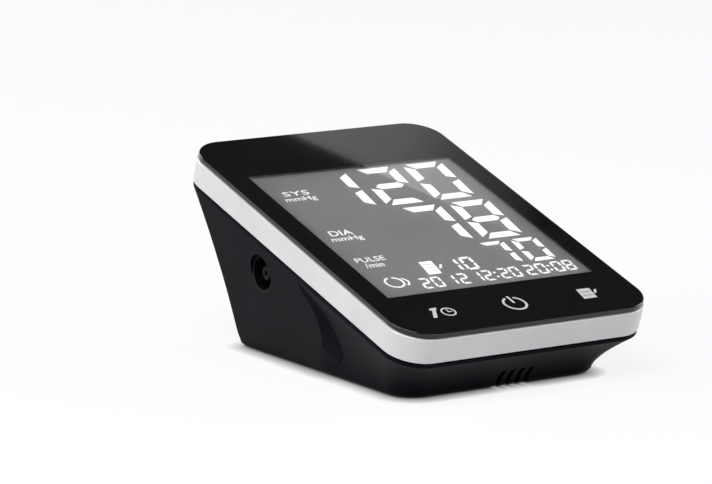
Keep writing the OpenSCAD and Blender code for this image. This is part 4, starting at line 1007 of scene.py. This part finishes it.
READINGS = (
    Reading("systolic_reading", (("1", -23.5), ("2", -3.2), ("0", 17.1)), 85.0, 16.4, 27.0),
    Reading("diastolic_reading", (("7", -3.2), ("8", 17.1)), 55.2, 16.4, 27.0),
    Reading("pulse_reading", (("7", 10.7), ("0", 24.2)), 37.0, 10.4, 16.0),
    Reading("memory_count", (("1", -8.3), ("0", -2.0)), 36.7, 4.9, 8.7),
    Reading("date_row", (("2", -24.7), ("0", -20.0), ("1", -14.6), ("2", -9.6)), 28.3, 3.7, 7.0),
    Reading("time_row", (("1", -4.3), ("2", 0.3), ("2", 6.9), ("0", 11.4)), 28.3, 3.7, 7.0, (5.4,)),
    Reading(
        "second_time_row", (("2", 17.4), ("0", 22.2), ("0", 28.9), ("8", 33.6)), 28.3, 3.9, 7.0, (27.4,)
    ),
)


@dataclass
class Screen:
    """Everything that the display shows, flat on the display glass."""

    figures: FigureSet = field(default_factory=FigureSet)
    seen_shift: Spot = (0.97, 1.28)
    thick: float = 0.04
    dot_r: float = 0.55
    dot_rim: float = 0.08
    dot_sides: int = 16
    dot_heights: Spot = (0.28, 0.68)

    def place(self) -> Matrix:
        """Gives the placing of a mark that is drawn where it is seen through the window."""
        u, v = self.seen_shift
        return DECK.matrix() @ Matrix.Translation(Vector((u, v, DECK.glass_top)) * MM)

    def keep(self, piece: Piece) -> None:
        """Places and dresses a finished mark.

        Args:
            piece: The mark, in deck metres.
        """
        settle(piece, self.place())
        FIGURES.dress([piece])
        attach(piece, "console")
        LOG.info("screen mark: %s", piece.name)

    def build_readings(self) -> None:
        """Builds each row of figures, with its colon."""
        self.figures.build()
        for row in READINGS:
            parts = [self.figures.figure(d, u, row.foot, row.width, row.height) for d, u in row.digits]
            for u in row.dots:
                for up in (share * row.height for share in self.dot_heights):
                    parts.append(self.dot(u + self.figures.slant * up, row.foot + up))
            self.keep(join(parts, row.name))
        self.figures.clear()

    def dot(self, u: float, v: float) -> Piece:
        """Models a round dot with a softened rim.

        Args:
            u: Its middle across.
            v: Its middle up the slope.

        Returns:
            The dot's object.
        """
        deselect()
        centre = Vector((u, v, self.thick / 2)) * MM
        bpy.ops.mesh.primitive_cylinder_add(
            vertices=self.dot_sides, radius=self.dot_r * MM, depth=self.thick * MM, location=centre
        )
        made = settle(bpy.context.object)
        edit(made)
        pick_faces(made, lambda f: f.normal.z > FACING)
        bpy.ops.mesh.inset(thickness=self.dot_rim * MM)
        close_edit()
        return made

    def label(self, text: str, box: Box) -> Piece:
        """Sets a word that leans as the figures do."""
        return lean_over(word(text, box, self.thick), self.figures.slant, box[2])

    def build_labels(self) -> None:
        """Builds the names and units beside the readings."""
        words = (
            ("systolic_label", "SYS", (-36.5, -26.2, 98.9, 102.0), "mmHg", (-37.9, -25.6, 94.2, 97.9)),
            ("diastolic_label", "DIA", (-36.3, -27.4, 68.9, 72.4), "mmHg", (-38.0, -25.6, 64.3, 68.1)),
            ("pulse_label", "PULSE", (-38.2, -26.6, 49.8, 52.9), "/min", (-36.7, -29.5, 45.8, 49.0)),
        )
        for name, title, title_box, unit, unit_box in words:
            self.keep(join([self.label(title, title_box), self.label(unit, unit_box)], name))

    def build_icons(self) -> None:
        """Builds the memory page with its pencil, and the cuff with its open edge."""
        self.keep(Page((-17.9, 36.9), (5.1, 8.7), (-11.6, 40.2)).build("memory_mark", self.thick))
        sleeve = Ring((-33.1, 34.8), r=3.25, stroke=0.75, start=78, turn=336)
        edge = Ring((-30.5, 34.5), r=2.55, stroke=0.65, start=62, turn=128)
        self.keep(join([part.build(self.thick) for part in (sleeve, edge)], "cuff_mark"))

    def build(self) -> None:
        """Builds all that the screen shows."""
        self.build_readings()
        self.build_labels()
        self.build_icons()


# ------------ key marks


@dataclass
class KeyMarks:
    """The three touch keys' printed marks on the panel, in deck millimetres."""

    thick: float = 0.03
    power: Ring = Ring((-0.3, 12.1), r=3.95, stroke=0.85, start=68, turn=316)
    power_bar: Spot = (0.3, 4.9)
    clock: Ring = Ring((-26.6, 12.4), r=2.4, stroke=0.6)
    hand: float = 0.22
    minute: float = 1.6
    hour: float = 1.4
    stem: tuple[Spot, Spot] = ((-34.1, 9.8), (-32.6, 14.6))
    head: tuple[Spot, Spot] = ((-32.6, 14.6), (-29.9, 15.8))
    lean: float = 0.5
    record: Page = Page((26.0, 9.1), (5.3, 6.4), (32.0, 11.9), lines=3)

    def keep(self, piece: Piece) -> None:
        """Places and dresses a finished mark on the panel's face.

        Args:
            piece: The mark, in deck metres.
        """
        settle(piece, DECK.matrix() @ Matrix.Translation((0, 0, DECK.panel_top * MM)))
        INK.dress([piece])
        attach(piece, "console")
        LOG.info("key mark: %s", piece.name)

    def build_power(self) -> None:
        """Builds the power key's broken ring and its bar."""
        (u, v), half, (low, high) = self.power.centre, self.power.stroke / 2, self.power_bar
        upright = bar((u - half, v + low), (u + half, v + high), 0, self.thick)
        self.keep(join([self.power.build(self.thick), upright], "power_mark"))

    def build_clock(self) -> None:
        """Builds the left key's figure and its small clock."""
        (u, v), h, t = self.clock.centre, self.hand, self.thick
        parts = [self.clock.build(t)]
        parts.append(bar((u - h, v - h), (u + h, v + self.minute), 0, t))
        parts.append(bar((u + h, v - h), (u + self.hour, v + h), 0, t))
        parts.extend(bar(*corners, self.lean, t) for corners in (self.stem, self.head))
        self.keep(join(parts, "clock_mark"))

    def build(self) -> None:
        """Builds the three marks."""
        self.build_clock()
        self.build_power()
        self.keep(self.record.build("record_mark", self.thick))


# ------------ the underside


@dataclass
class DoorMark:
    """A small raised arrow beside the battery door's grip."""

    u: float = 0.0
    tip: float = 103.4
    length: float = 4.6
    half: float = 3.0
    proud: float = 0.15
    point: float = 0.06  # how wide the tip stays
    rim: float = 0.12

    def build(self) -> None:
        """Models the arrow as a tapered slab on the door's lower face."""
        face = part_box("battery_door")[0].z / MM
        y = self.tip - DECK.middle_y
        low = (self.u - self.half, y - self.length, face - self.proud)
        arrow = slab(low, (self.u + self.half, y, face), "door_arrow")
        edit(arrow)
        pick_faces(arrow, lambda f: f.normal.y > FACING)
        bpy.ops.transform.resize(value=(self.point, 1, 1))
        pick_faces(arrow, lambda f: f.normal.z < -FACING)
        bpy.ops.mesh.inset(thickness=self.rim * MM)
        close_edit()
        CASE.dress([arrow])
        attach(arrow, "door")
        LOG.info("door arrow")


# ------------ studio


@dataclass(frozen=True)
class StageFinish(Finish):
    """White studio paper: it shows white behind the object, takes the lamps' shadow faintly, and its
    glow carries a painted contact shadow close to the object.
    """

    plain: float = 0.86
    take: float = 0.14
    # how far out from the object the painted contact shadow darkens the glow
    painted_shadow_mm: float = 6.0

    def shader(self, tree: Tree) -> bpy.types.Node:
        """Adds the paper, brighter where it is seen, straight or in a reflection; ambient occlusion
        darkens that glow near the object as a painted contact shadow.

        Args:
            tree: The material's node tree.

        Returns:
            The shader node.
        """
        fine = self.pattern(tree, self.grain_mm, self.grain, self.stretch)
        colours = linear(self.colour), linear(self.shade)
        tone = self.blend(tree, self.spread_over(tree, fine, 0, 1), *colours)
        paper = add_node(tree, "BsdfDiffuse", links={"Color": tone})
        # Painted shadow: ambient occlusion darkens the floor's glow near and under the object, also
        # where it is seen in reflections.
        painted_shadow = add_node(tree, "AmbientOcclusion", {"Distance": self.painted_shadow_mm * MM}, samples=8)
        glow = add_node(tree, "Emission", {"Strength": self.plain}, {"Color": painted_shadow.outputs["Color"]})
        faint = add_node(tree, "BsdfDiffuse", {"Color": (self.take,) * 3 + (1,)})
        seen = add_node(tree, "AddShader", links={0: glow.outputs[0], 1: faint.outputs[0]})
        path = add_node(tree, "LightPath")
        either = path.outputs["Is Camera Ray"]
        for ray in ("Is Glossy Ray", "Is Transmission Ray"):
            links = {0: either, 1: path.outputs[ray]}
            either = add_node(tree, "Math", links=links, operation="MAXIMUM").outputs[0]
        return add_node(tree, "MixShader", links={0: either, 1: paper.outputs[0], 2: seen.outputs[0]})


@dataclass(frozen=True)
class CardFinish(Finish):
    """A soft light's face that fades along its length."""

    levels: tuple[Spot, ...] = (
        (0.0, 0.94), (0.33, 0.87), (0.58, 0.72), (0.72, 0.36), (0.84, 0.22), (1.0, 0.0),
    )

    def shader(self, tree: Tree) -> bpy.types.Node:
        """Adds the card's light, graded along the card's own x.

        Args:
            tree: The material's node tree.

        Returns:
            The shader node.
        """
        place = add_node(tree, "UVMap")
        parts = add_node(tree, "SeparateXYZ", links={0: place.outputs[0]})
        ramp = add_node(tree, "ValToRGB", links={0: parts.outputs[0]})
        stops = ramp.color_ramp.elements
        while len(stops) < len(self.levels):
            stops.new(0.5)
        for stop, (where, level) in zip(stops, self.levels):
            stop.position = where
            stop.color = (level, level, level, 1)
        return add_node(tree, "Emission", {"Strength": 1.0}, {"Color": ramp.outputs[0]})


# Matt white background paper with a faint fibre, and a painted contact shadow in its glow near the
# object.
PAPER = StageFinish("background_paper", "#e8e8e8", "#e4e4e4", grain_mm=3)
# The soft light whose edge the panel reflects.
SOFTBOX = CardFinish("softbox_face", "#ffffff", "#ffffff")


@dataclass(frozen=True)
class Lamp:
    """A soft square lamp, given by its direction, distance, size and level on a facing surface."""

    name: str
    towards: Point
    distance: float
    size: float
    level: float
    aim_height: float = 0.035

    def build(self) -> None:
        """Adds the lamp, aimed at the object's middle.

        A square lamp of pi squared watts at 1 m lights a facing white surface to a level of 1.
        """
        data = bpy.data.lights.new(self.name, "AREA")
        data.shape = "SQUARE"
        data.size = self.size
        data.energy = self.level * math.pi**2 * self.distance**2
        lamp = bpy.data.objects.new(self.name, data)
        bpy.context.scene.collection.objects.link(lamp)
        way = Vector(self.towards).normalized()
        lamp.location = way * self.distance + Vector((0, 0, self.aim_height))
        lamp.rotation_euler = (-way).to_track_quat("-Z", "Y").to_euler()
        LOG.info("lamp: %s, %.1f W", self.name, data.energy)


@dataclass
class Studio:
    """White floor with a low round wall, soft lamps, a soft light for the panel and the camera."""

    floor_r: float = 2.4
    curve_r: float = 0.5
    wall_top: float = 1.3
    wall_sides: int = 96
    curve_steps: int = 8
    lamps: tuple[Lamp, ...] = (
        Lamp("key", (-0.45, -0.35, 0.82), 1.7, 1.0, 0.62),
        Lamp("front_fill", (0.3, -0.9, 0.35), 1.8, 0.9, 0.18),
        Lamp("left_fill", (-0.95, 0.15, 0.3), 1.8, 0.9, 0.52),
        Lamp("right_fill", (0.95, -0.15, 0.4), 1.8, 0.8, 0.3),
        Lamp("back_fill", (-0.35, 0.9, 0.45), 1.8, 0.8, 0.3),
    )
    world_level: float = 0.035
    camera_at: Point = (-0.71925, -1.03853, 0.28057)
    azimuth: float = -33.808
    elevation: float = 10.783
    roll: float = 0.304
    lens: float = 192.135
    sensor_mm: float = 36.0
    near: float = 0.01
    card_corner: Point = (0.73417, 0.87131, 0.91202)
    card_along: Point = (0.71650, -0.69749, -0.01133)
    card_across: Point = (0.41900, 0.44329, -0.79242)
    card_length: float = 0.28
    card_width: float = 0.3
    card_before: float = 0.09  # how much of its length lies before the corner
    card_cuts: int = 3

    def build_floor(self) -> None:
        """Models the floor and wall by spinning their profile."""
        deselect()
        bpy.ops.mesh.primitive_circle_add(
            vertices=self.wall_sides, radius=self.floor_r, fill_type="NGON"
        )
        floor = bpy.context.object
        floor.name = "studio_floor"
        edit(floor)
        pick_edges(floor, lambda e: e.is_boundary)
        before = (self.floor_r, 0.0)
        spots = []
        for i in range(1, self.curve_steps + 1):
            a = math.radians(90 * i / self.curve_steps)
            spots.append((self.floor_r + self.curve_r * math.sin(a), self.curve_r * (1 - math.cos(a))))
        spots.append((self.floor_r + self.curve_r, self.wall_top))
        for r, z in spots:
            bpy.ops.mesh.extrude_edges_move(TRANSFORM_OT_translate={"value": (0, 0, z - before[1])})
            bpy.ops.transform.resize(value=(r / before[0], r / before[0], 1))
            before = (r, z)
        bpy.ops.mesh.select_all(action="SELECT")
        bpy.ops.mesh.normals_make_consistent(inside=True)
        bpy.ops.object.mode_set(mode="OBJECT")
        for face in floor.data.polygons:
            face.use_smooth = True
        settle(floor)
        PAPER.dress([floor])

    def build_card(self) -> None:
        """Models the soft light that the panel reflects, its lit edge along the photographed line."""
        deselect()
        bpy.ops.mesh.primitive_plane_add(size=1)
        card = bpy.context.object
        card.name = "softbox"
        along, across = Vector(self.card_along), Vector(self.card_across)
        turn = Matrix((along, across, along.cross(across))).transposed().to_4x4()
        middle = Vector(self.card_corner) + along * (self.card_length / 2 - self.card_before)
        middle += across * self.card_width / 2
        size = Matrix.Diagonal((self.card_length, self.card_width, 1, 1))
        edit(card)
        bpy.ops.mesh.select_all(action="SELECT")
        bpy.ops.mesh.subdivide(number_cuts=self.card_cuts)
        bpy.ops.object.mode_set(mode="OBJECT")
        settle(card, Matrix.Translation(middle) @ turn @ size)
        SOFTBOX.dress([card])

    def build_world(self) -> None:
        """Gives the room above the wall a dim even level."""
        world = bpy.data.worlds.new("room")
        bpy.context.scene.world = world
        world.use_nodes = True
        tree = world.node_tree
        tree.nodes.clear()
        level = (self.world_level,) * 3 + (1,)
        room = add_node(tree, "Background", {"Color": level, "Strength": 1.0})
        add_node(tree, "OutputWorld", links={"Surface": room.outputs[0]})

    def build_camera(self) -> None:
        """Adds the camera where the photograph was taken."""
        a, e, r = (math.radians(x) for x in (self.azimuth, self.elevation, self.roll))
        back = Vector((math.sin(a) * math.cos(e), -math.cos(a) * math.cos(e), math.sin(e)))
        right = Vector((math.cos(a), math.sin(a), 0))
        up = back.cross(right)
        across = right * math.cos(r) + up * math.sin(r)
        upright = up * math.cos(r) - right * math.sin(r)
        data = bpy.data.cameras.new("camera")
        data.lens = self.lens
        data.sensor_width = self.sensor_mm
        data.clip_start = self.near
        camera = bpy.data.objects.new("camera", data)
        bpy.context.scene.collection.objects.link(camera)
        turn = Matrix((across, upright, back)).transposed().to_4x4()
        camera.matrix_world = Matrix.Translation(self.camera_at) @ turn
        bpy.context.scene.camera = camera

    def build(self) -> None:
        """Builds the whole studio."""
        self.build_camera()
        self.build_floor()
        self.build_card()
        self.build_world()
        for lamp in self.lamps:
            lamp.build()
        bpy.context.scene.view_settings.view_transform = "Standard"


# ------------ the whole


def main() -> None:
    """Builds and dresses every piece in order."""
    logging.basicConfig(level=logging.INFO, format="%(name)s: %(message)s")
    Studio().build()
    CadNodes(frame["nodes"]).dress()
    ValveSpring().build(frame["nodes"]["valve_spring"])
    Screen().build()
    KeyMarks().build()
    DoorMark().build()


if __name__ == "__main__":
    main()
